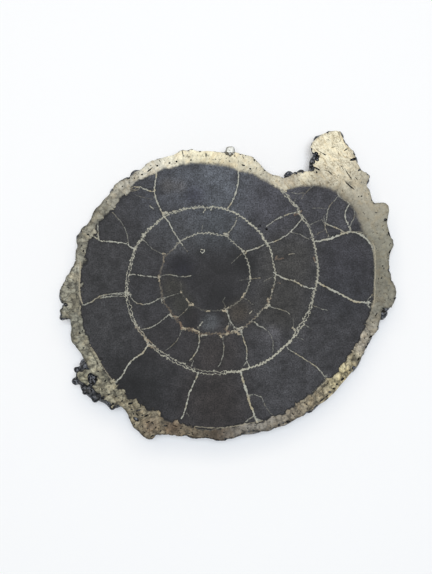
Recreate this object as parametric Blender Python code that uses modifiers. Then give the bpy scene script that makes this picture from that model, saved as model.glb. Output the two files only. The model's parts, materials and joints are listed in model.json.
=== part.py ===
# Ammonite fossil, one half: sawn flat along its plane of coiling, the sawn face polished,
# the rest left as natural ribbed shell under a knobbly mineral crust.
# It lies on its natural side with the polished face up. Metres, +Z up.

import math
import random

import bmesh
import bpy
from mathutils import Matrix, Vector
from mathutils.noise import noise

MM = 0.001

# ---- Driving dimensions, in millimetres. The coil centre is (0, 0), the sawn face is at z = 0 ----

THICKNESS = 22.0            # sawn face to the lowest lump of the crust
TURNS_START = -0.13         # the coil is told in turns, from the broken mouth inwards
TURNS_END = 5.0

# Outer radius of the whorl at each quarter turn. It winds clockwise from +X.
WALL_TURNS = [-0.25, -0.125, 0, 0.25, 0.5, 0.75, 1, 1.25, 1.5, 1.75, 2, 2.25, 2.5, 2.75,
              3, 3.25, 3.5, 3.75, 4, 4.5, 5, 5.5, 6]
WALL_RADII = [54.0, 58.4, 63.2, 62.0, 54.4, 44.8, 40.4, 39.2, 36.0, 27.2, 23.4, 23.8, 22.4, 16.4,
              13.8, 13.6, 13.0, 10.8, 9.0, 7.0, 5.0, 3.2, 2.0]

# How far the whorl bulges below the sawn face, by turns
DEPTH_TURNS = [-0.25, -0.1, 0, 0.5, 0.75, 1, 1.5, 2, 2.5, 3, 4, 5, 6]
DEPTHS = [17.0, 18.6, 19.4, 19.2, 18.6, 17.0, 14.6, 12.8, 11.4, 10.4, 9.2, 8.4, 8.0]

CRUST = 2.4                 # crust over the outermost turn
CRUST_END_TURN = 0.9        # by this turn the whorl is covered by the one outside it
WHORL_OVERLAP = 0.30        # share of a whorl's height that the next one hides
SECTION_POWER = 2.5         # 2 is an ellipse, more is a squarer whorl
SECTION_SIDES = 28

RIBS_PER_TURN = 34
STEPS_PER_RIB = 7
RIB_HEIGHT = 2.2            # on the outermost turn, less on the inner ones
RIB_SWEEP = 0.035           # turns by which a rib bends forward between its root and the rim
CRUST_RELIEF = [(11.0, 1.1), (4.5, 0.55)]   # size of the swellings, and how far they rise or sink

# The rim of the sawn face
RIM_DEPTH = 3.6             # how far the ragged rim keeps the outline below the face
RIM_ROUND = 2.4             # its lower edge is rounded by this much
RIM_OUTLINE = [
    (25.2, 39.4), (22, 40), (19.6, 41.6), (13.6, 47.4), (8, 48.8), (6, 48), (-10, 50),
    (-14.4, 49.6), (-16.4, 48.2), (-26, 45.6), (-34, 39.4), (-40.8, 36), (-43.2, 31.6), (-48.4, 26.4),
    (-52, 19.6), (-54.4, 18), (-56.2, 13.6), (-55.6, 11.2), (-57.2, 3.6), (-62.2, -4.8), (-62.4, -9.2),
    (-61.8, -11), (-60, -11.8), (-62.6, -14.4), (-61.8, -17.8), (-58.6, -17.4), (-58, -26.8),
    (-54.4, -31.2), (-51.2, -37.6), (-47.6, -41.2), (-48, -43.2), (-49.6, -44.8), (-48.4, -46.8),
    (-46, -48), (-44.8, -50), (-38, -52.8), (-35.2, -56.4), (-33.2, -61.2), (-27.2, -66), (-25.2, -65.6),
    (-24.2, -64), (-14, -64.8), (-12, -64.2), (-7.2, -65.6), (2.4, -66.6), (14, -62.6), (20.4, -62.8),
    (26.4, -59.4), (34.8, -56.4), (39.2, -51.6), (47.6, -45.2), (52, -39.2), (56, -36.8), (61.2, -25.6),
    (64.6, -22), (66, -14), (70, -13.2), (71.2, -10.8), (72, -7.2), (70, -2), (69, 4.8), (71, 11.6),
    (68.2, 20.4), (69.2, 26), (67.2, 28.8), (62.8, 28.4), (60.2, 34.8), (60, 36.8), (61.2, 38.8),
    (60.4, 40.4), (58, 41.6), (55.6, 45.6), (55.6, 47.6), (50, 55.2), (49.6, 57.2), (47.6, 57.6),
    (42.4, 56.2), (38.2, 52.8), (37.6, 50.8), (38.4, 48.8), (40.8, 48.2), (41.6, 46.8), (38.8, 45.2),
    (38.6, 43.6), (41.4, 41), (36.8, 41.6), (31.2, 40.6), (26.8, 38.4),
]

# Knobs and nodules below the face: x, y, height of the centre, radius
KNOBS = [
    # the nodules at the lower left, which stand out past the polished rim; the saw cut the first one
    (-53.0, -41.2, -1.6, 3.3),
    (-52.0, -39.5, -5.0, 4.6), (-55.0, -42.2, -6.5, 3.4), (-51.5, -44.0, -6.0, 4.2),
    (-49.5, -48.0, -6.5, 3.6), (-46.5, -50.0, -6.0, 3.2), (-43.6, -51.8, -5.6, 2.8),
    (-53.5, -37.0, -8.5, 3.4), (-48.0, -45.0, -11.0, 4.5), (-41.5, -51.0, -9.0, 3.6),
    # under the horn
    (40.8, 43.4, -5.5, 3.2), (45.0, 46.0, -6.0, 4.6), (49.5, 49.5, -5.5, 4.2), (45.5, 53.0, -5.0, 3.8),
    (50.0, 43.0, -7.0, 5.0), (55.0, 38.5, -7.5, 4.6), (41.8, 53.4, -5.0, 2.4), (40.8, 47.4, -4.6, 2.1),
    (39.8, 42.0, -4.6, 1.9), (54.0, 46.0, -5.5, 3.0),
    # crust that shows behind the rim
    (34.0, 40.3, -4.6, 2.2), (29.4, 39.4, -4.8, 2.0), (-32.2, 39.8, -5.0, 2.2), (-41.0, 32.6, -5.0, 2.0),
    (5.4, 48.0, -3.4, 2.3), (66.4, -15.6, -5.0, 2.6), (36.2, -53.3, -5.2, 2.5), (2.4, -64.9, -4.8, 2.2),
]

# Lumps of crust. Section angles are in degrees: 0 is at the rim, 90 is the lowest line of the whorl
LUMP_RADII = (1.4, 2.9)
LUMP_SINK = 0.985           # lumps are set in this much, as a share of their distance from the coil centre
RIM_KNOB_SPACING = 4.2      # a knob behind each corner of the outline, and this far apart between them
RIM_KNOB_HEIGHTS = (-6.0, -2.6)
EDGE_LUMPS = {"count": 150, "turns": (-0.11, 0.86), "angles": (20, 62), "patchy": -1.0}
SIDE_LUMPS = {"count": 170, "turns": (-0.10, 1.90), "angles": (50, 140), "patchy": -0.05}
PATCH_SIZE = 14.0           # how wide the patches of side lumps are
WOBBLE = (3.0, 0.5)         # size and height of the unevenness of each lump

# Broad swellings of the side that it rests on: turn, section angle as a share of half a turn
REST_SWELLINGS = [(0.05, 0.48), (0.21, 0.52), (0.36, 0.47), (0.52, 0.50), (0.66, 0.48), (0.82, 0.50)]
REST_SIZE = (8.5, 6.5, 5.5) # half lengths along X, Y and Z
REST_DIP = 0.35             # how far a swelling would reach below the table before its wear flat

VOXEL = 0.95
ROUGH_TRIANGLES = 13500     # before the saw takes the top off
CUTTER_WIDTH = 200.0
CUTTER_HEIGHT = 30.0
SEED = 41

STONE_COLOUR = (0.075, 0.072, 0.068, 1.0)
STONE_ROUGHNESS = 0.35
STONE_METALLIC = 0.0


# ---- The coil's own geometry ----

def smooth_table(turns, values, turn):
    """A smooth curve through hand-set values (Catmull-Rom with uneven spacing)."""
    if turn <= turns[0]:
        return values[0]
    if turn >= turns[-1]:
        return values[-1]
    i = max(k for k in range(len(turns) - 1) if turns[k] <= turn)
    span = turns[i + 1] - turns[i]
    f = (turn - turns[i]) / span

    def slope(k):
        a, b = max(k - 1, 0), min(k + 1, len(turns) - 1)
        return (values[b] - values[a]) / (turns[b] - turns[a])

    h00 = 2 * f ** 3 - 3 * f ** 2 + 1
    h10 = f ** 3 - 2 * f ** 2 + f
    h01 = -2 * f ** 3 + 3 * f ** 2
    h11 = f ** 3 - f ** 2
    return h00 * values[i] + h10 * span * slope(i) + h01 * values[i + 1] + h11 * span * slope(i + 1)


def rib_profile(turn, outward):
    """Height of the ribbing from 0 in a groove to 1 on a crest. outward is 0 at the seam, 1 at the rim."""
    phase = (turn - RIB_SWEEP * outward ** 2) * RIBS_PER_TURN
    crest = 0.5 + 0.5 * math.cos(2 * math.pi * phase)
    return crest ** 1.4


def whorl_point(turn, section_angle):
    """A point on the whorl's outside. section_angle 0 looks outwards, 90 degrees looks down."""
    outer = smooth_table(WALL_TURNS, WALL_RADII, turn)
    if turn < CRUST_END_TURN:
        outer += CRUST * min(1.0, (CRUST_END_TURN - turn) * 6)
    inner = smooth_table(WALL_TURNS, WALL_RADII, turn + 1)
    inner -= WHORL_OVERLAP * (outer - inner)
    inner = max(inner, 0.0)
    depth = smooth_table(DEPTH_TURNS, DEPTHS, turn)

    cosine, sine = math.cos(section_angle), math.sin(section_angle)
    across = math.copysign(abs(cosine) ** (2 / SECTION_POWER), cosine)
    down = math.copysign(abs(sine) ** (2 / SECTION_POWER), sine)
    outward = 0.5 + 0.5 * across
    rib = RIB_HEIGHT * rib_profile(turn, outward) * max(0.45, 1 - 0.25 * max(turn, 0))
    rib *= min(1.0, abs(down) * 2.2 + 0.15) * min(1.0, outward * 3)
    if turn > 3:
        rib *= max(0.0, 1 - (turn - 3) / 1.5)

    def place(swelling):
        radius = (outer + inner) / 2 + ((outer - inner) / 2 + 0.7 * swelling) * across
        angle = -2 * math.pi * turn
        return Vector((radius * math.cos(angle), radius * math.sin(angle), -(depth + swelling) * down))

    plain = place(rib)
    relief = sum(height * noise(plain / size) for size, height in CRUST_RELIEF)
    return place(rib + relief * min(1.0, depth / 16))


# ---- Pieces of the rough solid ----

def whorl_loft():
    """The coiled, ribbed tube, lofted section by section from the mouth to the heart of the coil."""
    steps = int((TURNS_END - TURNS_START) * RIBS_PER_TURN * STEPS_PER_RIB)
    mesh = bmesh.new()
    rings = []
    for i in range(steps + 1):
        turn = TURNS_START + (TURNS_END - TURNS_START) * i / steps
        angles = [2 * math.pi * s / SECTION_SIDES for s in range(SECTION_SIDES)]
        rings.append([mesh.verts.new(whorl_point(turn, angle)) for angle in angles])
    for ring, following in zip(rings, rings[1:]):
        for s in range(SECTION_SIDES):
            n = (s + 1) % SECTION_SIDES
            mesh.faces.new((ring[s], ring[n], following[n], following[s]))
    mesh.faces.new(rings[0])
    mesh.faces.new(rings[-1])
    bmesh.ops.recalc_face_normals(mesh, faces=mesh.faces)
    return mesh


def rim_slab():
    """The ragged rim: a filled outline with a rounded lower edge, standing a little proud of the face."""
    curve = bpy.data.curves.new("rim_outline", "CURVE")
    curve.dimensions = "2D"
    curve.fill_mode = "BOTH"
    curve.extrude = RIM_DEPTH - RIM_ROUND
    curve.bevel_depth = RIM_ROUND
    curve.bevel_resolution = 3
    curve.offset = -RIM_ROUND
    spline = curve.splines.new("POLY")
    spline.points.add(len(RIM_OUTLINE) - 1)
    for point, (x, y) in zip(spline.points, RIM_OUTLINE):
        point.co = (x, y, 0, 1)
    spline.use_cyclic_u = True
    holder = bpy.data.objects.new("rim_outline", curve)
    bpy.context.scene.collection.objects.link(holder)
    slab = bpy.data.meshes.new_from_object(holder.evaluated_get(bpy.context.evaluated_depsgraph_get()))
    bpy.data.objects.remove(holder)
    mesh = bmesh.new()
    mesh.from_mesh(slab)
    bmesh.ops.remove_doubles(mesh, verts=mesh.verts, dist=0.01)
    bpy.data.meshes.remove(slab)
    return mesh


def lump(mesh, centre, radius, dice):
    """One rounded lump of crust, squashed and turned a little so that no two are alike."""
    ball = bmesh.ops.create_icosphere(mesh, subdivisions=2, radius=radius)["verts"]
    shape = Matrix.Diagonal((dice.uniform(0.85, 1.2), dice.uniform(0.8, 1.1), dice.uniform(0.8, 1.0), 1))
    spin = Matrix.Rotation(dice.uniform(0, math.pi), 4, "Z")
    tip = Matrix.Rotation(dice.uniform(-0.5, 0.5), 4, "X")
    bmesh.ops.transform(mesh, matrix=Matrix.Translation(centre) @ spin @ tip @ shape, verts=ball)


def rim_knobs(mesh, dice):
    """The crust is thick at the rim: every corner of the outline is the cut through a knob."""
    for corner, following in zip(RIM_OUTLINE, RIM_OUTLINE[1:] + RIM_OUTLINE[:1]):
        start, end = Vector((*corner, 0)), Vector((*following, 0))
        along = (end - start).normalized()
        inwards = Vector((-along.y, along.x, 0))
        count = max(1, round((end - start).length / RIM_KNOB_SPACING))
        for i in range(count):
            radius = dice.uniform(*LUMP_RADII)
            place = start.lerp(end, i / count) + inwards * radius
            place.z = dice.uniform(*RIM_KNOB_HEIGHTS)
            lump(mesh, place, radius, dice)


def strewn_lumps(mesh, strew, dice):
    """Lumps at random places on the whorl, only where the patch noise is above the threshold."""
    for _ in range(strew["count"]):
        angle = math.radians(dice.uniform(*strew["angles"]))
        place = whorl_point(dice.uniform(*strew["turns"]), angle)
        radius = dice.uniform(*LUMP_RADII)
        if noise(place / PATCH_SIZE) > strew["patchy"]:
            lump(mesh, place * LUMP_SINK, radius, dice)


def rest_swellings(mesh, dice):
    for turn, section in REST_SWELLINGS:
        place = whorl_point(turn, math.pi * section)
        place.z = REST_SIZE[2] - THICKNESS - REST_DIP
        swelling = Matrix.Rotation(dice.uniform(0, math.pi), 4, "Z") @ Matrix.Diagonal((*REST_SIZE, 1))
        ball = bmesh.ops.create_icosphere(mesh, subdivisions=3, radius=1)["verts"]
        bmesh.ops.transform(mesh, matrix=Matrix.Translation(place) @ swelling, verts=ball)


def crust_lumps():
    """All lumps: the named knobs, those behind the rim, a scatter over the side, and those it rests on."""
    dice = random.Random(SEED)
    mesh = bmesh.new()
    for x, y, height, radius in KNOBS:
        lump(mesh, Vector((x, y, height)), radius, dice)
    rim_knobs(mesh, dice)
    strewn_lumps(mesh, EDGE_LUMPS, dice)
    strewn_lumps(mesh, SIDE_LUMPS, dice)
    rest_swellings(mesh, dice)
    size, height = WOBBLE
    for vertex in mesh.verts:
        shift = noise(vertex.co / size), noise(vertex.co.yzx / size)
        vertex.co += Vector((*shift, 0)) * height
    return mesh


# ---- Making it one solid ----

def with_modifier(obj, name, kind, settings):
    """Adds one modifier and keeps its result as the object's mesh."""
    modifier = obj.modifiers.new(name, kind)
    for key, value in settings.items():
        setattr(modifier, key, value)
    evaluated = obj.evaluated_get(bpy.context.evaluated_depsgraph_get())
    result = bpy.data.meshes.new_from_object(evaluated)
    obj.modifiers.clear()
    obj.data = result


def keep_largest_body(obj):
    """Drops loose crumbs and sealed bubbles that remeshing can leave."""
    mesh = bmesh.new()
    mesh.from_mesh(obj.data)
    unseen = set(mesh.verts)
    bodies = []
    while unseen:
        heap = [unseen.pop()]
        body = set(heap)
        while heap:
            vertex = heap.pop()
            for edge in vertex.link_edges:
                other = edge.other_vert(vertex)
                if other in unseen:
                    unseen.discard(other)
                    body.add(other)
                    heap.append(other)
        bodies.append(body)
    largest = max(bodies, key=len)
    bmesh.ops.delete(mesh, geom=[v for v in mesh.verts if v not in largest], context="VERTS")
    mesh.to_mesh(obj.data)
    mesh.free()


def block_cutter(name, bottom, top, collection):
    """A wide block between two heights, for cutting the solid flat."""
    mesh = bmesh.new()
    size = Matrix.Diagonal((CUTTER_WIDTH, CUTTER_WIDTH, top - bottom, 1))
    bmesh.ops.create_cube(mesh, size=1, matrix=Matrix.Translation((0, 0, (bottom + top) / 2)) @ size)
    data = bpy.data.meshes.new(name)
    mesh.to_mesh(data)
    mesh.free()
    obj = bpy.data.objects.new(name, data)
    obj.hide_render = True
    obj.display_type = "WIRE"
    collection.objects.link(obj)
    return obj


def stone_material():
    material = bpy.data.materials.new("fossil_stone")
    material.use_nodes = True
    shader = material.node_tree.nodes["Principled BSDF"]
    shader.inputs["Base Color"].default_value = STONE_COLOUR
    shader.inputs["Roughness"].default_value = STONE_ROUGHNESS
    shader.inputs["Metallic"].default_value = STONE_METALLIC
    return material


def build():
    for obj in list(bpy.data.objects):
        bpy.data.objects.remove(obj)
    parts = bpy.data.collections.new("ammonite_fossil")
    cutters = bpy.data.collections.new("cutters")
    for collection in (parts, cutters):
        bpy.context.scene.collection.children.link(collection)

    rough = bmesh.new()
    scratch = bpy.data.meshes.new("scratch")
    for piece in (whorl_loft(), rim_slab(), crust_lumps()):
        piece.to_mesh(scratch)
        piece.free()
        rough.from_mesh(scratch)
    data = bpy.data.meshes.new("ammonite_half")
    rough.to_mesh(data)
    rough.free()
    bpy.data.meshes.remove(scratch)
    fossil = bpy.data.objects.new("ammonite_half", data)
    parts.objects.link(fossil)

    with_modifier(fossil, "fuse", "REMESH", {"mode": "VOXEL", "voxel_size": VOXEL, "adaptivity": 0})
    keep_largest_body(fossil)
    triangles = 2 * len(fossil.data.polygons)
    with_modifier(fossil, "thin out", "DECIMATE", {"ratio": ROUGH_TRIANGLES / triangles})

    saw = block_cutter("saw_plane", 0.0, CUTTER_HEIGHT, cutters)
    table = block_cutter("table_plane", -THICKNESS - CUTTER_HEIGHT, -THICKNESS, cutters)
    for tool in (saw, table):
        settings = {"operation": "DIFFERENCE", "solver": "EXACT", "object": tool}
        with_modifier(fossil, tool.name, "BOOLEAN", settings)

    # the origin goes under the middle of the box, on the table, and millimetres become metres
    corners = [vertex.co for vertex in fossil.data.vertices]
    low = [min(c[k] for c in corners) for k in range(3)]
    high = [max(c[k] for c in corners) for k in range(3)]
    middle = Vector(((low[0] + high[0]) / 2, (low[1] + high[1]) / 2, low[2]))
    to_origin = Matrix.Scale(MM, 4) @ Matrix.Translation(-middle)
    for obj in (fossil, saw, table):
        obj.data.transform(to_origin)
    fossil.data.materials.clear()
    fossil.data.materials.append(stone_material())
    print("coil centre in mm from the origin:", [round(-c, 3) for c in middle])
    print("size in mm:", [round(h - l, 3) for l, h in zip(low, high)], "faces:", len(fossil.data.polygons))


build()
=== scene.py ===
import json
import math
import random
import time

import bpy
import numpy as np
from mathutils import Matrix, Vector
from mathutils.noise import noise


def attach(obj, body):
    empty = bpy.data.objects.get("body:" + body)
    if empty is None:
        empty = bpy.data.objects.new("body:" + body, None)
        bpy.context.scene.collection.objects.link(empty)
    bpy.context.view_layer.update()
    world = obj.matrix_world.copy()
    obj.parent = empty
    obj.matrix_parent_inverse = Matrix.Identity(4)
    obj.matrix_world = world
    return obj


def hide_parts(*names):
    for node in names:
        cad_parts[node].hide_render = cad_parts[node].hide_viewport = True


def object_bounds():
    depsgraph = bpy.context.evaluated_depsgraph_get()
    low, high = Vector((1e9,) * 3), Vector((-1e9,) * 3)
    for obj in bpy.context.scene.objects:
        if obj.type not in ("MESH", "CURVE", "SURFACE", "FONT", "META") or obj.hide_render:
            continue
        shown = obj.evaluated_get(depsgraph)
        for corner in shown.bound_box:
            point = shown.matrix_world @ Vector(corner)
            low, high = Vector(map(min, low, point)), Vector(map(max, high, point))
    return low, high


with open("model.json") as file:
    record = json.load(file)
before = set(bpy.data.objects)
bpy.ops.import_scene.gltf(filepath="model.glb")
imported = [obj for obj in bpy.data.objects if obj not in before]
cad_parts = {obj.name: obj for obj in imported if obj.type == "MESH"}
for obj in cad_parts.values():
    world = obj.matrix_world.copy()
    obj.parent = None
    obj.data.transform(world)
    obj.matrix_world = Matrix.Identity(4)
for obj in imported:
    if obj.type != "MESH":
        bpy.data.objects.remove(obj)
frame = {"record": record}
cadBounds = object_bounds()
started = time.time()

# the half ammonite is modelled in millimetres from the heart of the coil, with the sawn face at z = 0,
# and put into the frame when its mesh is done
mm = 0.001
coilCentre = Vector(frame["record"]["mounts"][0]["pos_m"])   # the mount on the polished face
thickness = coilCentre.z / mm


def report(stage):
    print("%5.1f s  %s" % (time.time() - started, stage))


def deselectAll():
    if bpy.context.mode != "OBJECT":
        bpy.ops.object.mode_set(mode="OBJECT")
    bpy.ops.object.select_all(action="DESELECT")


def activate(obj):
    deselectAll()
    obj.select_set(True)
    bpy.context.view_layer.objects.active = obj


def getPoints(obj):
    points = np.empty(len(obj.data.vertices) * 3)
    obj.data.vertices.foreach_get("co", points)
    return points.reshape(-1, 3)


def setPoints(obj, points):
    obj.data.vertices.foreach_set("co", np.asarray(points, float).ravel())
    obj.data.update()


def applyModifier(obj, kind, **settings):
    activate(obj)
    modifier = obj.modifiers.new(kind.lower(), kind)
    for key, value in settings.items():
        setattr(modifier, key, value)
    bpy.ops.object.modifier_apply(modifier=modifier.name)


def joinAll(objects):
    activate(objects[0])
    for obj in objects:
        obj.select_set(True)
    bpy.ops.object.join()
    return objects[0]


# ---- the coiled whorls ----

coil = {
    "turns": (-0.13, 5.0),   # turn 0 is on the right, 0.25 at the bottom; they wind inwards
    "wallTurns": [-0.25, -0.125, 0, 0.25, 0.5, 0.75, 1, 1.25, 1.5, 1.75, 2, 2.25, 2.5, 2.75,
                  3, 3.25, 3.5, 3.75, 4, 4.5, 5, 5.5, 6],
    "wallRadii": [54.0, 58.4, 63.2, 62.0, 54.4, 44.8, 40.4, 39.2, 36.0, 27.2, 23.4, 23.8, 22.4, 16.4,
                  13.8, 13.6, 13.0, 10.8, 9.0, 7.0, 5.0, 3.2, 2.0],
    "depthTurns": [-0.25, -0.1, 0, 0.5, 0.75, 1, 1.5, 2, 2.5, 3, 4, 5, 6],
    "depths": [17.0, 18.6, 19.4, 19.2, 18.6, 17.0, 14.6, 12.8, 11.4, 10.4, 9.2, 8.4, 8.0],
    "crust": 2.4, "crustEndTurn": 0.9, "overlap": 0.30, "squareness": 2.5,
    "ribs": 34, "ribHeight": 2.2, "ribSweep": 0.035,
    "relief": [(11.0, 1.1), (4.5, 0.55)],   # (size of the bumps, height)
    "stepsPerRib": 12, "sides": 40,
}


def smoothTable(turns, values, at):   # a smooth curve through given values
    turns, values, at = np.asarray(turns, float), np.asarray(values, float), np.asarray(at, float)
    slopes = np.gradient(values, turns)
    i = np.clip(np.searchsorted(turns, at, side="right") - 1, 0, len(turns) - 2)
    span = turns[i + 1] - turns[i]
    f = np.clip((at - turns[i]) / span, 0, 1)
    return ((2 * f ** 3 - 3 * f ** 2 + 1) * values[i] + (f ** 3 - 2 * f ** 2 + f) * span * slopes[i]
            + (3 * f ** 2 - 2 * f ** 3) * values[i + 1] + (f ** 3 - f ** 2) * span * slopes[i + 1])


def whorlSurface(turn, angle):   # section angle 0 points outwards and 90 degrees down
    outer = smoothTable(coil["wallTurns"], coil["wallRadii"], turn)
    outer = outer + coil["crust"] * np.clip((coil["crustEndTurn"] - turn) * 6, 0, 1)
    inner = smoothTable(coil["wallTurns"], coil["wallRadii"], turn + 1)
    inner = np.maximum(inner - coil["overlap"] * (outer - inner), 0)
    depth = smoothTable(coil["depthTurns"], coil["depths"], turn)
    power = 2 / coil["squareness"]
    across = np.sign(np.cos(angle)) * np.abs(np.cos(angle)) ** power
    down = np.sign(np.sin(angle)) * np.abs(np.sin(angle)) ** power
    outward = 0.5 + 0.5 * across
    phase = (turn - coil["ribSweep"] * outward ** 2) * coil["ribs"]
    rib = coil["ribHeight"] * (0.5 + 0.5 * np.cos(2 * np.pi * phase)) ** 1.4
    rib = rib * np.maximum(0.45, 1 - 0.25 * np.maximum(turn, 0))
    rib = rib * np.minimum(1, np.abs(down) * 2.2 + 0.15) * np.minimum(1, outward * 3)
    rib = rib * np.clip(1 - (turn - 3) / 1.5, 0, 1)

    def place(swelling):
        radius = (outer + inner) / 2 + ((outer - inner) / 2 + 0.7 * swelling) * across
        bearing = -2 * np.pi * turn
        return np.stack([radius * np.cos(bearing), radius * np.sin(bearing), -(depth + swelling) * down], 1)

    relief = np.array([sum(height * noise(Vector(p) / size) for size, height in coil["relief"])
                       for p in place(rib)])
    return place(rib + relief * np.minimum(1, depth / 16))


def makeWhorls():
    first, last = coil["turns"]
    steps = int((last - first) * coil["ribs"] * coil["stepsPerRib"])
    deselectAll()
    bpy.ops.mesh.primitive_grid_add(x_subdivisions=steps, y_subdivisions=coil["sides"], size=1)
    whorls = bpy.context.active_object
    unrolled = getPoints(whorls) + 0.5
    setPoints(whorls, whorlSurface(first + (last - first) * unrolled[:, 0], 2 * np.pi * unrolled[:, 1]))
    bpy.ops.object.mode_set(mode="EDIT")
    bpy.ops.mesh.select_all(action="SELECT")
    bpy.ops.mesh.remove_doubles(threshold=0.0005)
    bpy.ops.mesh.select_all(action="DESELECT")
    bpy.ops.mesh.select_non_manifold()
    bpy.ops.mesh.fill_holes(sides=0)
    bpy.ops.mesh.select_all(action="SELECT")
    bpy.ops.mesh.normals_make_consistent(inside=False)
    bpy.ops.object.mode_set(mode="OBJECT")
    return whorls


# ---- the rim of crust round the sawn face ----

rim = {
    "above": 3.2, "below": 3.6, "round": 2.4,
    "outline": [
        (25.2, 39.4), (22, 40), (19.6, 41.6), (17.2, 44.4), (15.6, 46), (13.6, 47.4), (10.8, 48),
        (8, 48.8), (6, 48), (4, 48.4), (2, 48.8), (-0.8, 49.2), (-4, 49.4), (-7.2, 49.2), (-10, 50),
        (-12.4, 49.6), (-14.4, 49.6), (-16.4, 48.2), (-18.8, 47.4), (-21.2, 46.8), (-23.6, 46),
        (-26, 45.6), (-28, 44.2), (-29.6, 42.6), (-30.8, 41.6), (-32.4, 41.2), (-34, 39.4), (-36.4, 38.4),
        (-38.8, 37.2), (-40.8, 36), (-41.6, 34), (-43.2, 31.6), (-45.2, 30), (-46.4, 28), (-48.4, 26.4),
        (-49.6, 24.4), (-50.2, 22.2), (-52, 19.6), (-54.4, 18), (-55.2, 15.6), (-56.2, 13.6),
        (-55.6, 11.2), (-56.4, 8.8), (-56.4, 6), (-57.2, 3.6), (-58.4, 1.8), (-58.6, 0.4), (-60, -0.4),
        (-60.8, -2.8), (-62.2, -4.8), (-62.8, -6.8), (-62.4, -9.2), (-61.8, -11), (-60, -11.8),
        (-61.6, -13.2), (-62.6, -14.4), (-62.2, -16.4), (-61.8, -17.8), (-60.4, -17.2), (-58.6, -17.4),
        (-58.2, -19.2), (-58, -21.6), (-58.4, -24), (-58, -26.8), (-56.4, -28.8), (-54.4, -31.2),
        (-53.2, -33.6), (-52, -35.2), (-51.2, -37.6), (-49.6, -39.6), (-47.6, -41.2), (-48, -43.2),
        (-49.6, -44.8), (-48.4, -46.8), (-46, -48), (-44.8, -50), (-42.4, -51.2), (-40, -52.2),
        (-38, -52.8), (-36.4, -54.4), (-35.2, -56.4), (-34.4, -58.8), (-33.2, -61.2), (-31.2, -62.8),
        (-29.6, -64.6), (-27.2, -66), (-25.2, -65.6), (-24.2, -64), (-22, -64), (-19.2, -64.2),
        (-16.4, -64.6), (-14, -64.8), (-12, -64.2), (-10, -65.4), (-7.2, -65.6), (-4.4, -65.4),
        (-2, -65.8), (0.4, -66.4), (2.4, -66.6), (4.4, -65.8), (6.8, -65.6), (9.2, -64.4), (11.2, -63.2),
        (14, -62.6), (17.2, -62.6), (20.4, -62.8), (22.4, -62.2), (24, -60.8), (26.4, -59.4),
        (29.2, -58.8), (32.4, -57.6), (34.8, -56.4), (36.8, -54.4), (39.2, -51.6), (41.2, -50.2),
        (43.6, -49), (45.6, -46.8), (47.6, -45.2), (48.8, -43.2), (50.4, -41.2), (52, -39.2), (53.6, -38),
        (56, -36.8), (56.8, -34.4), (58.4, -32.4), (59.2, -30), (60.4, -28.4), (61.2, -25.6), (63.2, -24),
        (64.6, -22), (65.2, -19.2), (65.8, -16.4), (66, -14), (67.2, -13.4), (70, -13.2), (71.2, -10.8),
        (72, -7.2), (71.4, -4.4), (70, -2), (69.2, 1.2), (69, 4.8), (69.2, 7.6), (70, 10), (71, 11.6),
        (70.6, 13.6), (69.6, 15.2), (69, 17.6), (68.2, 20.4), (68.6, 23.2), (69.2, 26), (68.6, 27.8),
        (67.2, 28.8), (64.8, 28.8), (62.8, 28.4), (62, 30.8), (61.4, 33.2), (60.2, 34.8), (60, 36.8),
        (61.2, 38.8), (60.4, 40.4), (58, 41.6), (57, 43.6), (55.6, 45.6), (55.6, 47.6), (54.4, 49.6),
        (52.8, 51.2), (51.6, 53.2), (50, 55.2), (49.6, 57.2), (47.6, 57.6), (45.2, 57.2), (42.4, 56.2),
        (40, 54.4), (38.2, 52.8), (37.6, 50.8), (38.4, 48.8), (40.8, 48.2), (41.6, 46.8), (38.8, 45.2),
        (38.6, 43.6), (40, 42), (41.4, 41), (38.4, 40.8), (36.8, 41.6), (34, 40.8), (31.2, 40.6),
        (29.2, 39.2), (26.8, 38.4),
    ],
}


def makeRimPlate():
    deselectAll()
    bpy.ops.mesh.primitive_circle_add(vertices=len(rim["outline"]), radius=1, fill_type="NGON")
    plate = bpy.context.active_object
    setPoints(plate, [(x, y, rim["above"]) for x, y in rim["outline"]])
    bpy.ops.object.mode_set(mode="EDIT")
    bpy.ops.mesh.select_all(action="SELECT")
    straight = rim["above"] + rim["below"] - rim["round"]
    bpy.ops.mesh.extrude_region_move(TRANSFORM_OT_translate={"value": (0, 0, -straight)})
    for share in (0.38, 0.62):   # the lower edge is turned in, in two steps
        bpy.ops.mesh.inset(thickness=rim["round"] * share, depth=0)
        bpy.ops.transform.translate(value=(0, 0, -rim["round"] * (1 - share)))
    bpy.ops.mesh.select_all(action="SELECT")
    bpy.ops.mesh.normals_make_consistent(inside=False)
    bpy.ops.object.mode_set(mode="OBJECT")
    return plate


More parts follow.
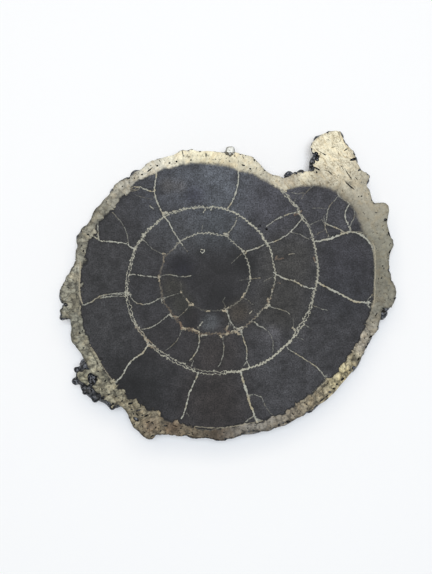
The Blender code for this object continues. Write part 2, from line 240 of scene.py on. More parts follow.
crust = {
    "seed": 41,
    "lumpRadii": (1.4, 2.9), "sink": 0.985,
    "knobs": [   # x, y, height of the centre, radius; the first is sawn through and shows in the face
        (-53.0, -41.2, -1.6, 3.0),
        (-51.0, -39.5, -5.0, 4.4), (-53.8, -41.6, -6.5, 3.0), (-50.6, -43.6, -6.0, 3.9),
        (-48.8, -46.8, -6.5, 3.2), (-45.8, -48.8, -6.0, 2.9), (-43.0, -50.6, -5.6, 2.5),
        (-52.5, -37.0, -8.5, 3.2), (-48.0, -45.0, -11.0, 4.5), (-41.5, -51.0, -9.0, 3.6),
        (40.8, 43.4, -5.5, 3.2), (45.0, 46.0, -6.0, 4.6), (49.5, 49.5, -5.5, 4.2), (45.5, 53.0, -5.0, 3.8),
        (50.0, 43.0, -7.0, 5.0), (55.0, 38.5, -7.5, 4.6), (41.8, 53.4, -5.0, 2.4), (40.8, 47.4, -4.6, 2.1),
        (39.8, 42.0, -4.6, 1.9), (54.0, 46.0, -5.5, 3.0),
        (34.0, 40.3, -4.6, 2.2), (29.4, 39.4, -4.8, 2.0), (-32.2, 39.8, -5.0, 2.2), (-41.0, 32.6, -5.0, 2.0),
        (5.0, 49.9, -0.9, 1.4), (6.2, 50.2, -0.8, 1.2), (5.9, 49.0, -0.9, 1.4), (66.4, -15.6, -5.0, 2.6), (39.4, -52.6, -2.4, 1.2), (37.2, -54.4, -2.2, 1.3), (42.4, -48.9, -2.6, 1.0), (2.4, -64.9, -4.8, 2.2),
    ],
    "sawnKnobs": [(-51.6, -42.8, -1.2, 2.0), (-54.8, -40.2, -1.1, 1.8), (-52.2, -39.0, -1.0, 1.7)],
    "rimKnobShare": 0.62, "rimKnobHeights": (-6.0, -2.6),
    "crumbCounts": (0, 1, 1, 2), "crumbRadii": (0.7, 1.25), "crumbReach": (-0.1, 0.6),
    "crumbHeights": (-2.6, -0.9),
    "nodules": [(-54.8, -41.2, -3.0), (-53.2, -43.7, -3.5), (-51.6, -46.2, -3.0), (-48.4, -48.2, -3.0),
                (-53.9, -38.4, -3.5), (-44.9, -50.4, -3.0), (-50.8, -44.2, -2.5), (-41.6, -51.4, -3.2)],
    "nodulesEach": 8, "noduleSpread": 1.1, "noduleRadii": (0.8, 1.5),
    "strewn": [
        {"count": 150, "turns": (-0.11, 0.86), "angles": (20, 62), "patchy": -1.0},
        {"count": 170, "turns": (-0.10, 1.90), "angles": (50, 140), "patchy": -0.05},
    ],
    "patchSize": 14.0,
    "rests": [(0.05, 0.48), (0.21, 0.52), (0.36, 0.47), (0.52, 0.50), (0.66, 0.48), (0.82, 0.50)],
    "restSize": (8.5, 6.5, 5.5), "restDip": 0.35,
    "voxel": 0.66, "keptShare": 0.34,
    "grapes": [(3.4, 0.55), (1.5, 0.22)],   # (size, height) of the small round bumps all over the crust
    "grapeStart": 0.4, "grapeFull": 2.4,    # they grow in over these depths under the sawn face
}


def placeOnWhorl(turn, angle):
    return Vector(whorlSurface(np.array([turn]), np.array([angle]))[0])


def makeLumps():   # every lump is a copy of one ball, squashed and turned
    dice = random.Random(crust["seed"])
    matrices = []

    def addLump(centre, radius):
        size = Matrix.Diagonal((radius * dice.uniform(0.85, 1.2), radius * dice.uniform(0.8, 1.1),
                                radius * dice.uniform(0.8, 1), 1))
        spin = Matrix.Rotation(dice.uniform(0, math.pi), 4, "Z") @ Matrix.Rotation(dice.uniform(-0.5, 0.5), 4, "X")
        matrices.append(Matrix.Translation(centre) @ spin @ size)

    for x, y, height, radius in crust["knobs"] + crust["sawnKnobs"]:
        addLump(Vector((x, y, height)), radius)
    corners = rim["outline"]
    for corner, following in zip(corners, corners[1:] + corners[:1]):
        along = (Vector(following) - Vector(corner)).normalized()
        if dice.random() < crust["rimKnobShare"]:
            radius = dice.uniform(*crust["lumpRadii"])
            inwards = Vector((-along.y, along.x)) * radius
            addLump(Vector((corner[0] + inwards.x, corner[1] + inwards.y, dice.uniform(*crust["rimKnobHeights"]))),
                    radius)
    for strewn in crust["strewn"]:
        for _ in range(strewn["count"]):
            turn, angle = dice.uniform(*strewn["turns"]), math.radians(dice.uniform(*strewn["angles"]))
            centre = placeOnWhorl(turn, angle)
            radius = dice.uniform(*crust["lumpRadii"])
            if noise(centre / crust["patchSize"]) > strewn["patchy"]:
                addLump(centre * crust["sink"], radius)
    crumbDice = random.Random(crust["seed"] + 1)
    for corner, following in zip(corners, corners[1:] + corners[:1]):   # small crumbs that show past the rim
        along = (Vector(following) - Vector(corner)).normalized()
        for _ in range(crumbDice.choice(crust["crumbCounts"])):
            radius = crumbDice.uniform(*crust["crumbRadii"])
            x, y = Vector(corner).lerp(Vector(following), crumbDice.random())
            inwards = radius - crumbDice.uniform(*crust["crumbReach"])
            size = Matrix.Diagonal((radius, radius, radius, 1))
            matrices.append(Matrix.Translation((x - along.y * inwards, y + along.x * inwards,
                                                crumbDice.uniform(*crust["crumbHeights"]))) @ size)
    for x, y, z in crust["nodules"]:
        for _ in range(crust["nodulesEach"]):
            radius = crumbDice.uniform(*crust["noduleRadii"])
            spot = Vector((x, y, z)) + Vector([crumbDice.gauss(0, crust["noduleSpread"]) for _ in range(3)])
            spot.z = min(spot.z, -1.2)
            matrices.append(Matrix.Translation(spot) @ Matrix.Diagonal((radius, radius, radius, 1)))
    for turn, section in crust["rests"]:
        centre = placeOnWhorl(turn, math.pi * section)
        centre.z = crust["restSize"][2] - thickness - crust["restDip"]
        size = Matrix.Diagonal((*crust["restSize"], 1))
        matrices.append(Matrix.Translation(centre) @ Matrix.Rotation(dice.uniform(0, math.pi), 4, "Z") @ size)
    return copiesOfBall("lumps", matrices, 3)


def copiesOfBall(name, matrices, subdivisions):   # one mesh with a copy of a ball for each matrix
    deselectAll()
    bpy.ops.mesh.primitive_ico_sphere_add(subdivisions=subdivisions, radius=1)
    ball = bpy.context.active_object
    corners = np.c_[getPoints(ball), np.ones(len(ball.data.vertices))]
    faces = np.array([face.vertices[:] for face in ball.data.polygons])
    points = np.concatenate([(corners @ np.array(matrix).T)[:, :3] for matrix in matrices])
    ball.data = bpy.data.meshes.new(name)
    ball.data.from_pydata(points.tolist(), [],
                          np.concatenate([faces + len(corners) * i for i in range(len(matrices))]).tolist())
    return ball


def keepLargest(obj):   # drops crumbs that remeshing left loose
    activate(obj)
    bpy.ops.mesh.separate(type="LOOSE")
    bodies = sorted(bpy.context.selected_objects, key=lambda body: -len(body.data.vertices))
    for body in bodies[1:]:
        bpy.data.objects.remove(body)
    return bodies[0]


def grapeHeights(points):   # round bumps like the grapes of pyrite
    heights = np.zeros(len(points))
    for size, height in crust["grapes"]:
        heights += [height * (0.5 - abs(noise(Vector(p) / size))) for p in points]
    return heights


def makeStone():
    stone = joinAll([makeWhorls(), makeRimPlate(), makeLumps()])
    stone.name = "fossilHalf"
    applyModifier(stone, "REMESH", mode="VOXEL", voxel_size=crust["voxel"], adaptivity=0)
    stone = keepLargest(stone)
    report("remeshed, %d faces" % len(stone.data.polygons))
    points = getPoints(stone)
    normals = np.empty(len(points) * 3)
    stone.data.vertices.foreach_get("normal", normals)
    normals = normals.reshape(-1, 3)
    grown = np.clip((-points[:, 2] - crust["grapeStart"]) / (crust["grapeFull"] - crust["grapeStart"]), 0, 1)
    grown *= np.clip((points[:, 2] + thickness) / 1.5, 0, 1)   # the feet stay as they are
    points += normals * (grapeHeights(points) * grown)[:, None]
    points[:, 2] = np.maximum(points[:, 2], -thickness)
    setPoints(stone, points)
    applyModifier(stone, "DECIMATE", ratio=crust["keptShare"])
    report("crust, %d faces" % len(stone.data.polygons))
    return stone


# ---- the saw cut ----

saw = {"cell": 0.56, "size": (142.0, 134.0), "centre": (4.6, -5.2), "height": 26.0}


def makeSawBlock():   # its flat underside is a fine grid, so that the face can carry its drawing
    deselectAll()
    bpy.ops.mesh.primitive_grid_add(x_subdivisions=int(saw["size"][0] / saw["cell"]),
                                    y_subdivisions=int(saw["size"][1] / saw["cell"]), size=1)
    block = bpy.context.active_object
    setPoints(block, getPoints(block) * (*saw["size"], 1) + (*saw["centre"], 0))
    bpy.ops.object.mode_set(mode="EDIT")
    bpy.ops.mesh.select_all(action="DESELECT")
    bpy.ops.mesh.select_non_manifold()
    bpy.ops.mesh.extrude_region_move(TRANSFORM_OT_translate={"value": (0, 0, saw["height"])})
    bpy.ops.mesh.edge_face_add()
    bpy.ops.mesh.select_all(action="SELECT")
    bpy.ops.mesh.normals_make_consistent(inside=False)
    bpy.ops.object.mode_set(mode="OBJECT")
    return block


def cutAway(stone, cutter):
    before = len(stone.data.vertices)
    applyModifier(stone, "BOOLEAN", operation="DIFFERENCE", solver="MANIFOLD", object=cutter)
    if len(stone.data.vertices) == before:
        applyModifier(stone, "BOOLEAN", operation="DIFFERENCE", solver="EXACT", object=cutter)
    bpy.data.objects.remove(cutter)
    report("cut, %d faces" % len(stone.data.polygons))


bites = {
    "seed": 7,
    "pits": [   # bearings in degrees, how many, radii, how drawn out
        {"bearings": (224, 262), "count": 28, "radii": (0.20, 0.46), "stretch": 2.4},
        {"bearings": (160, 224), "count": 9, "radii": (0.20, 0.42), "stretch": 1.5},
        {"bearings": (262, 302), "count": 12, "radii": (0.16, 0.34), "stretch": 1.8},
        {"bearings": (302, 335), "count": 9, "radii": (0.16, 0.32), "stretch": 1.8},
        {"bearings": (335, 395), "count": 14, "radii": (0.18, 0.34), "stretch": 1.5},
        {"bearings": (55, 160), "count": 14, "radii": (0.16, 0.28), "stretch": 1.8},
    ],
    "chips": [   # bearings, how many, radii
        {"bearings": (0, 62), "count": 150, "radii": (0.34, 1.0)},
        {"bearings": (62, 150), "count": 130, "radii": (0.28, 0.75)},
        {"bearings": (150, 240), "count": 170, "radii": (0.34, 1.0)},
        {"bearings": (240, 360), "count": 190, "radii": (0.34, 0.95)},
    ],
    "cracks": [   # x, y, length, width, direction in degrees
        (52.0, 52.5, 4.2, 1.0, -50), (51.7, 49.9, 1.8, 0.4, 31), (54.9, 46.1, 3.4, 1.1, 16),   # the spur
        (57.4, 41.9, 2.0, 0.9, 25), (60.7, 35.3, 3.2, 0.9, -73), (62.3, 30.1, 1.4, 0.7, 54),
        (63.2, 28.6, 1.6, 0.5, 0), (40.1, 42.4, 3.2, 0.7, -28), (43.2, 48.1, 1.6, 0.4, -31),
        (52.9, 39.8, 5.0, 0.35, -55), (53.4, 35.4, 4.9, 0.55, -39), (45.5, 40.7, 2.6, 0.35, -45),
        (50.4, 42.6, 2.2, 0.25, -58), (56.0, 38.4, 2.0, 0.25, -50), (47.0, 51.0, 1.4, 0.25, 20),
        (67.6, 21.9, 1.4, 1.2, 0), (69.1, 16.1, 2.6, 0.6, -62), (69.3, 9.1, 1.8, 0.6, 65),   # right
        (67.4, -13.8, 2.8, 0.6, -20), (63.9, -16.0, 2.0, 0.45, 60), (66.5, 3.4, 0.7, 0.6, 0), (66.0, -1.4, 0.8, 0.6, 40),
        (-29.8, 40.0, 0.8, 0.7, 0), (-26.8, 41.8, 2.4, 0.6, 40), (-23.7, 43.5, 0.9, 0.8, 0),   # top
        (-18.8, 44.6, 0.9, 0.7, 0), (-16.0, 45.2, 0.9, 0.8, 0), (-10.2, 45.8, 0.8, 0.6, 0),
        (-22.7, 45.4, 1.4, 0.3, -60), (-13.5, 48.4, 3.0, 0.35, -78), (-4.2, 47.8, 1.9, 0.5, 90),
        (10.7, 43.7, 1.6, 0.6, -15), (13.5, 42.3, 0.9, 0.7, 0), (15.2, 45.8, 0.9, 0.7, 0),
        (10.7, 46.8, 1.2, 0.3, -60), (-20.7, 47.4, 2.4, 0.3, 8), (-32.7, 41.3, 3.2, 0.6, 40),
        (-34.4, -51.6, 2.3, 0.9, 15), (-31.2, -54.3, 2.0, 0.7, 15), (-28.1, -56.5, 2.0, 0.65, 35),   # lower left
        (-27.4, -59.0, 1.9, 0.5, 25), (-25.6, -59.4, 1.6, 0.5, -50), (-24.3, -61.2, 1.0, 0.6, 60),
        (-16.5, -60.6, 1.9, 0.45, -12), (-14.2, -61.5, 0.8, 0.6, 40), (-32.2, -57.9, 2.8, 1.4, -35),
        (-37.8, -50.6, 1.2, 0.5, 70), (-47.6, -35.6, 2.8, 0.35, -75), (-50.6, -41.8, 4.6, 2.0, -80),
        (-52.2, -37.5, 3.2, 1.0, -15), (-48.4, -41.0, 1.8, 1.2, 20), (-49.6, -46.4, 2.4, 1.6, -50),
        (-51.4, 16.0, 0.9, 0.7, 0), (-53.2, 9.4, 1.0, 0.6, 70), (-53.7, -22.6, 0.9, 0.5, 60),   # left
        (50.4, -41.9, 1.8, 0.9, 42), (48.2, -43.9, 1.0, 0.7, 42), (46.9, -45.6, 1.0, 0.7, 40),   # lower right
        (56.8, -33.8, 1.6, 0.7, 60), (61.6, -24.9, 1.5, 0.8, 40), (57.0, -35.0, 0.8, 0.6, 20),
        (36.7, -55.5, 3.4, 1.7, 30), (39.8, -53.2, 2.9, 1.5, 42), (42.1, -50.2, 2.4, 0.7, 38), (44.2, -48.6, 1.5, 0.5, 40),
        (17.2, 19.4, 1.3, 0.9, 30),
        (20.0, 18.1, 1.2, 0.8, -10), (-5.8, 9.4, 0.9, 0.9, 0),
    ],
}


def cutBites(stone):   # real holes and notches: short stretched balls sunk in the rim and its edge
    dice = random.Random(bites["seed"])
    outline = np.array(rim["outline"] + rim["outline"][:1])
    corners, ends = outline[:-1], outline[1:]
    lengths = np.hypot(*(ends - corners).T)
    matrices, taken = [], []

    def onEdge(bearings):
        while True:
            i = dice.choices(range(len(corners)), lengths)[0]
            point = corners[i] + (ends[i] - corners[i]) * dice.random()
            bearing = math.degrees(math.atan2(point[1], point[0])) % 360
            if bearings[0] <= bearing <= bearings[1] or bearings[0] <= bearing + 360 <= bearings[1]:
                along = (ends[i] - corners[i]) / lengths[i]
                return point, along, np.array([-along[1], along[0]])

    def bite(x, y, z, sizes, turned):   # only where it meets no other
        spots = [(x + step * math.cos(turned), y + step * math.sin(turned), sizes[1] * 1.15)
                 for step in np.linspace(-1, 1, 5) * max(0, sizes[0] - sizes[1])]
        if all(math.hypot(a - c, b - d) > r + q for a, b, r in spots for c, d, q in taken):
            taken.extend(spots)
            matrices.append(Matrix.Translation((x, y, z)) @ Matrix.Rotation(turned, 4, "Z")
                            @ Matrix.Diagonal((*sizes, 1)))

    for x, y, length, width, direction in bites["cracks"]:
        bite(x, y, 0.1, (length / 2, width / 2, 0.5 + width), math.radians(direction))
    for chips in bites["chips"]:
        for _ in range(chips["count"]):
            point, along, inwards = onEdge(chips["bearings"])
            radius = dice.uniform(*chips["radii"])
            point = point - inwards * radius * dice.uniform(-0.2, 0.5)
            bite(*point, dice.uniform(-1.2, 0.2), (radius, radius * dice.uniform(0.6, 1.2), radius * 1.3),
                 dice.uniform(0, math.pi))
    for pits in bites["pits"]:
        candidates = [(*onEdge(pits["bearings"]), dice.random(), dice.uniform(*pits["radii"]), dice.uniform(-1, 1))
                      for _ in range(pits["count"])]
        widths = nearestOnLines(np.array([c[0] for c in candidates]), [face["innerLine"]])[0]
        for (point, along, inwards, share, radius, lean), width in zip(candidates, widths):
            depth = 0.5 + radius + share * max(0, min(width, 8.0) - 1.1 - 2 * radius)
            turned = math.atan2(along[1], along[0]) + 1.1 * lean
            bite(*(point + inwards * depth), radius * dice.uniform(-0.1, 0.4),
                 (radius * dice.uniform(1, pits["stretch"]), radius * 0.8, radius * 1.6), turned)
    cutAway(stone, copiesOfBall("bites", matrices, 2))


# ---- lines of the sawn face, as (x, y) from the heart of the coil ----

face = {
    "innerLine": [
        (26.8, 33.6), (24.4, 34.6), (22, 36), (20, 37.4), (17.2, 38.8), (14.4, 40.4), (11.2, 41), (8.8, 41.6),
        (6.4, 43), (3.6, 43.8), (-0.8, 44.2), (-5.2, 44.6), (-9.6, 44.6), (-14, 44), (-17.6, 43), (-20.8, 42.2),
        (-23.6, 41), (-26.8, 39.6), (-30, 38.2), (-32.4, 37), (-34, 35.2), (-35.2, 33), (-37.2, 31.4), (-38, 29.8),
        (-39.6, 28.8), (-40.4, 27.2), (-42.4, 25.8), (-43.6, 24), (-45.2, 22.6), (-46.8, 21.4), (-47.8, 19.6), (-48.4, 17.6),
        (-49.4, 15.6), (-51.2, 13.4), (-51.4, 11.2), (-52.2, 8.8), (-52.6, 5.6), (-53.8, 2.4), (-54.2, -1.2), (-54.4, -5.6),
        (-54, -9.6), (-54, -13.6), (-54, -17.6), (-53.4, -20.8), (-52.2, -23.6), (-51.2, -26.4), (-49.8, -29.4), (-48.4, -31.6),
        (-46.8, -34.8), (-45.2, -37.4), (-43.2, -39.6), (-41.8, -42), (-40.4, -44), (-38.4, -46), (-36.4, -48), (-35.2, -50.2),
        (-32.8, -50.4), (-31.6, -52.4), (-29.2, -52.6), (-28, -54.6), (-25.6, -54.6), (-23.2, -55.4), (-21.6, -56.8), (-19.2, -58.4),
        (-16, -59), (-13.2, -60), (-10, -60.8), (-6.8, -61.8), (-3.2, -62.2), (0.4, -62), (4, -61.2), (7.6, -60.8),
        (10.8, -60), (13.6, -59.6), (16.4, -59.8), (19.2, -58.8), (21.6, -57.6), (24, -56.6), (26.8, -56), (28.8, -54.2),
        (31.2, -53.2), (32.8, -51), (35.2, -50.4), (36.4, -48.4), (38.4, -47.6), (40.4, -45.2), (42, -43.6), (44.8, -41.6),
        (47.6, -39.6), (49.2, -37.2), (50.8, -36.4), (51.6, -34), (53.6, -32), (54.8, -30), (55.6, -27.6), (57.6, -26.4),
        (58, -23.6), (59.2, -21.6), (59.6, -18.8), (61.2, -16.6), (62, -13.2), (62.8, -10), (63.2, -6), (63.2, -1.2),
        (63.2, 4), (62.8, 8.4), (62, 12), (60.4, 14.4), (58.4, 17.2), (57.6, 20), (56.4, 22.8), (55.4, 25.6),
        (54, 27.6), (52, 29.6), (49.6, 31.4), (47.6, 33.6), (45.2, 34.6), (42.4, 35.4), (39.2, 35.8), (35.6, 35.6),
        (32.4, 35.4), (29.6, 34.4),
    ],
    "wallLine": [
        (25.2, 34.8), (26.8, 32.8), (28.8, 30.8), (30.4, 28.4), (32.4, 26.8), (33.2, 24.4), (34.8, 22.4), (36.4, 20.4),
        (37.4, 18), (38.2, 15.2), (39, 12.8), (39.4, 10.4), (40, 7.6), (40.4, 4.8), (40.6, 1.6), (40.4, -1.6),
        (39.8, -4.8), (38.8, -8), (38.2, -11.2), (37.2, -14), (36.2, -16.4), (34.8, -18.8), (33.4, -21.2), (31.8, -23.6),
        (30, -26), (27.8, -28.4), (25.2, -30.6), (22.6, -32.8), (19.8, -34.8), (16.8, -36.2), (13.6, -37.2), (10, -38.4),
        (6.8, -39), (3.2, -39.2), (-0.4, -39.4), (-4, -39.2), (-7.2, -38.6), (-10.4, -37.4), (-13.6, -36.2), (-16.8, -34.8),
        (-20, -32.6), (-23.2, -30.6), (-26, -28.2), (-28.4, -25.6), (-30.4, -22.8), (-32, -20.6), (-33.4, -18), (-34.4, -15),
        (-35.2, -12), (-35.8, -9.2), (-36, -6.4), (-35.8, -3.2), (-35.4, -0.4), (-34.6, 2.4), (-34.2, 5.2), (-33.4, 8),
        (-32.2, 10.8), (-30.6, 13.6), (-29, 16), (-26.8, 18.2), (-24.4, 20.4), (-21.8, 22.6), (-19.6, 24), (-16.8, 24.8),
        (-13.6, 26), (-10.4, 26.6), (-7.2, 27), (-4, 26.8), (-1.2, 27.2), (1.6, 26.8), (4.4, 25.8), (7.2, 24.8),
        (9.6, 23.2), (12.2, 21.4), (14.4, 19.6), (16.6, 17.6), (18.2, 15.6), (19.6, 13.2), (21.2, 10.8), (22.2, 8),
        (22.6, 5.2), (23.2, 2.8), (23.6, 0), (23.4, -2.8), (22.6, -5.6), (21.8, -8.4), (21, -11.2), (19, -13.2),
        (17.2, -15.2), (15.6, -17.2), (13.6, -19), (11.6, -20.8), (9.2, -22.2), (6.4, -23.2), (3.6, -24), (0, -23.6),
        (-3.6, -23.8), (-6.4, -24), (-9.2, -22.6), (-11.6, -22), (-13.6, -21.6), (-14.8, -19.2), (-16.8, -17.4), (-18, -15.6),
        (-19.2, -13.4), (-20.8, -11.2), (-21.8, -8.4), (-22.2, -5.2), (-23, -2.4), (-22.6, 0.8), (-21.6, 4), (-21.2, 6.8),
        (-19.2, 8.4), (-17.2, 10.2), (-15.6, 12.4), (-14, 13.6), (-11.6, 14.8), (-9.2, 15.8), (-6.8, 16.4), (-4, 16.6),
        (-1.2, 16.4), (1.2, 15.8), (3.6, 15.4), (5.4, 14), (7.4, 12.2), (9.6, 10.4), (11, 8.6), (12.2, 6),
        (13, 3.4), (13.4, 0.8), (13.6, -1.6), (12.8, -4.4), (11.8, -7.2), (10.4, -9.4), (8, -11.6), (4.8, -13.4),
        (1.2, -14.4), (-2.4, -14.6), (-6, -14), (-9.2, -12.6), (-12, -10.6), (-13.8, -7.6), (-14.2, -4),
    ],
}

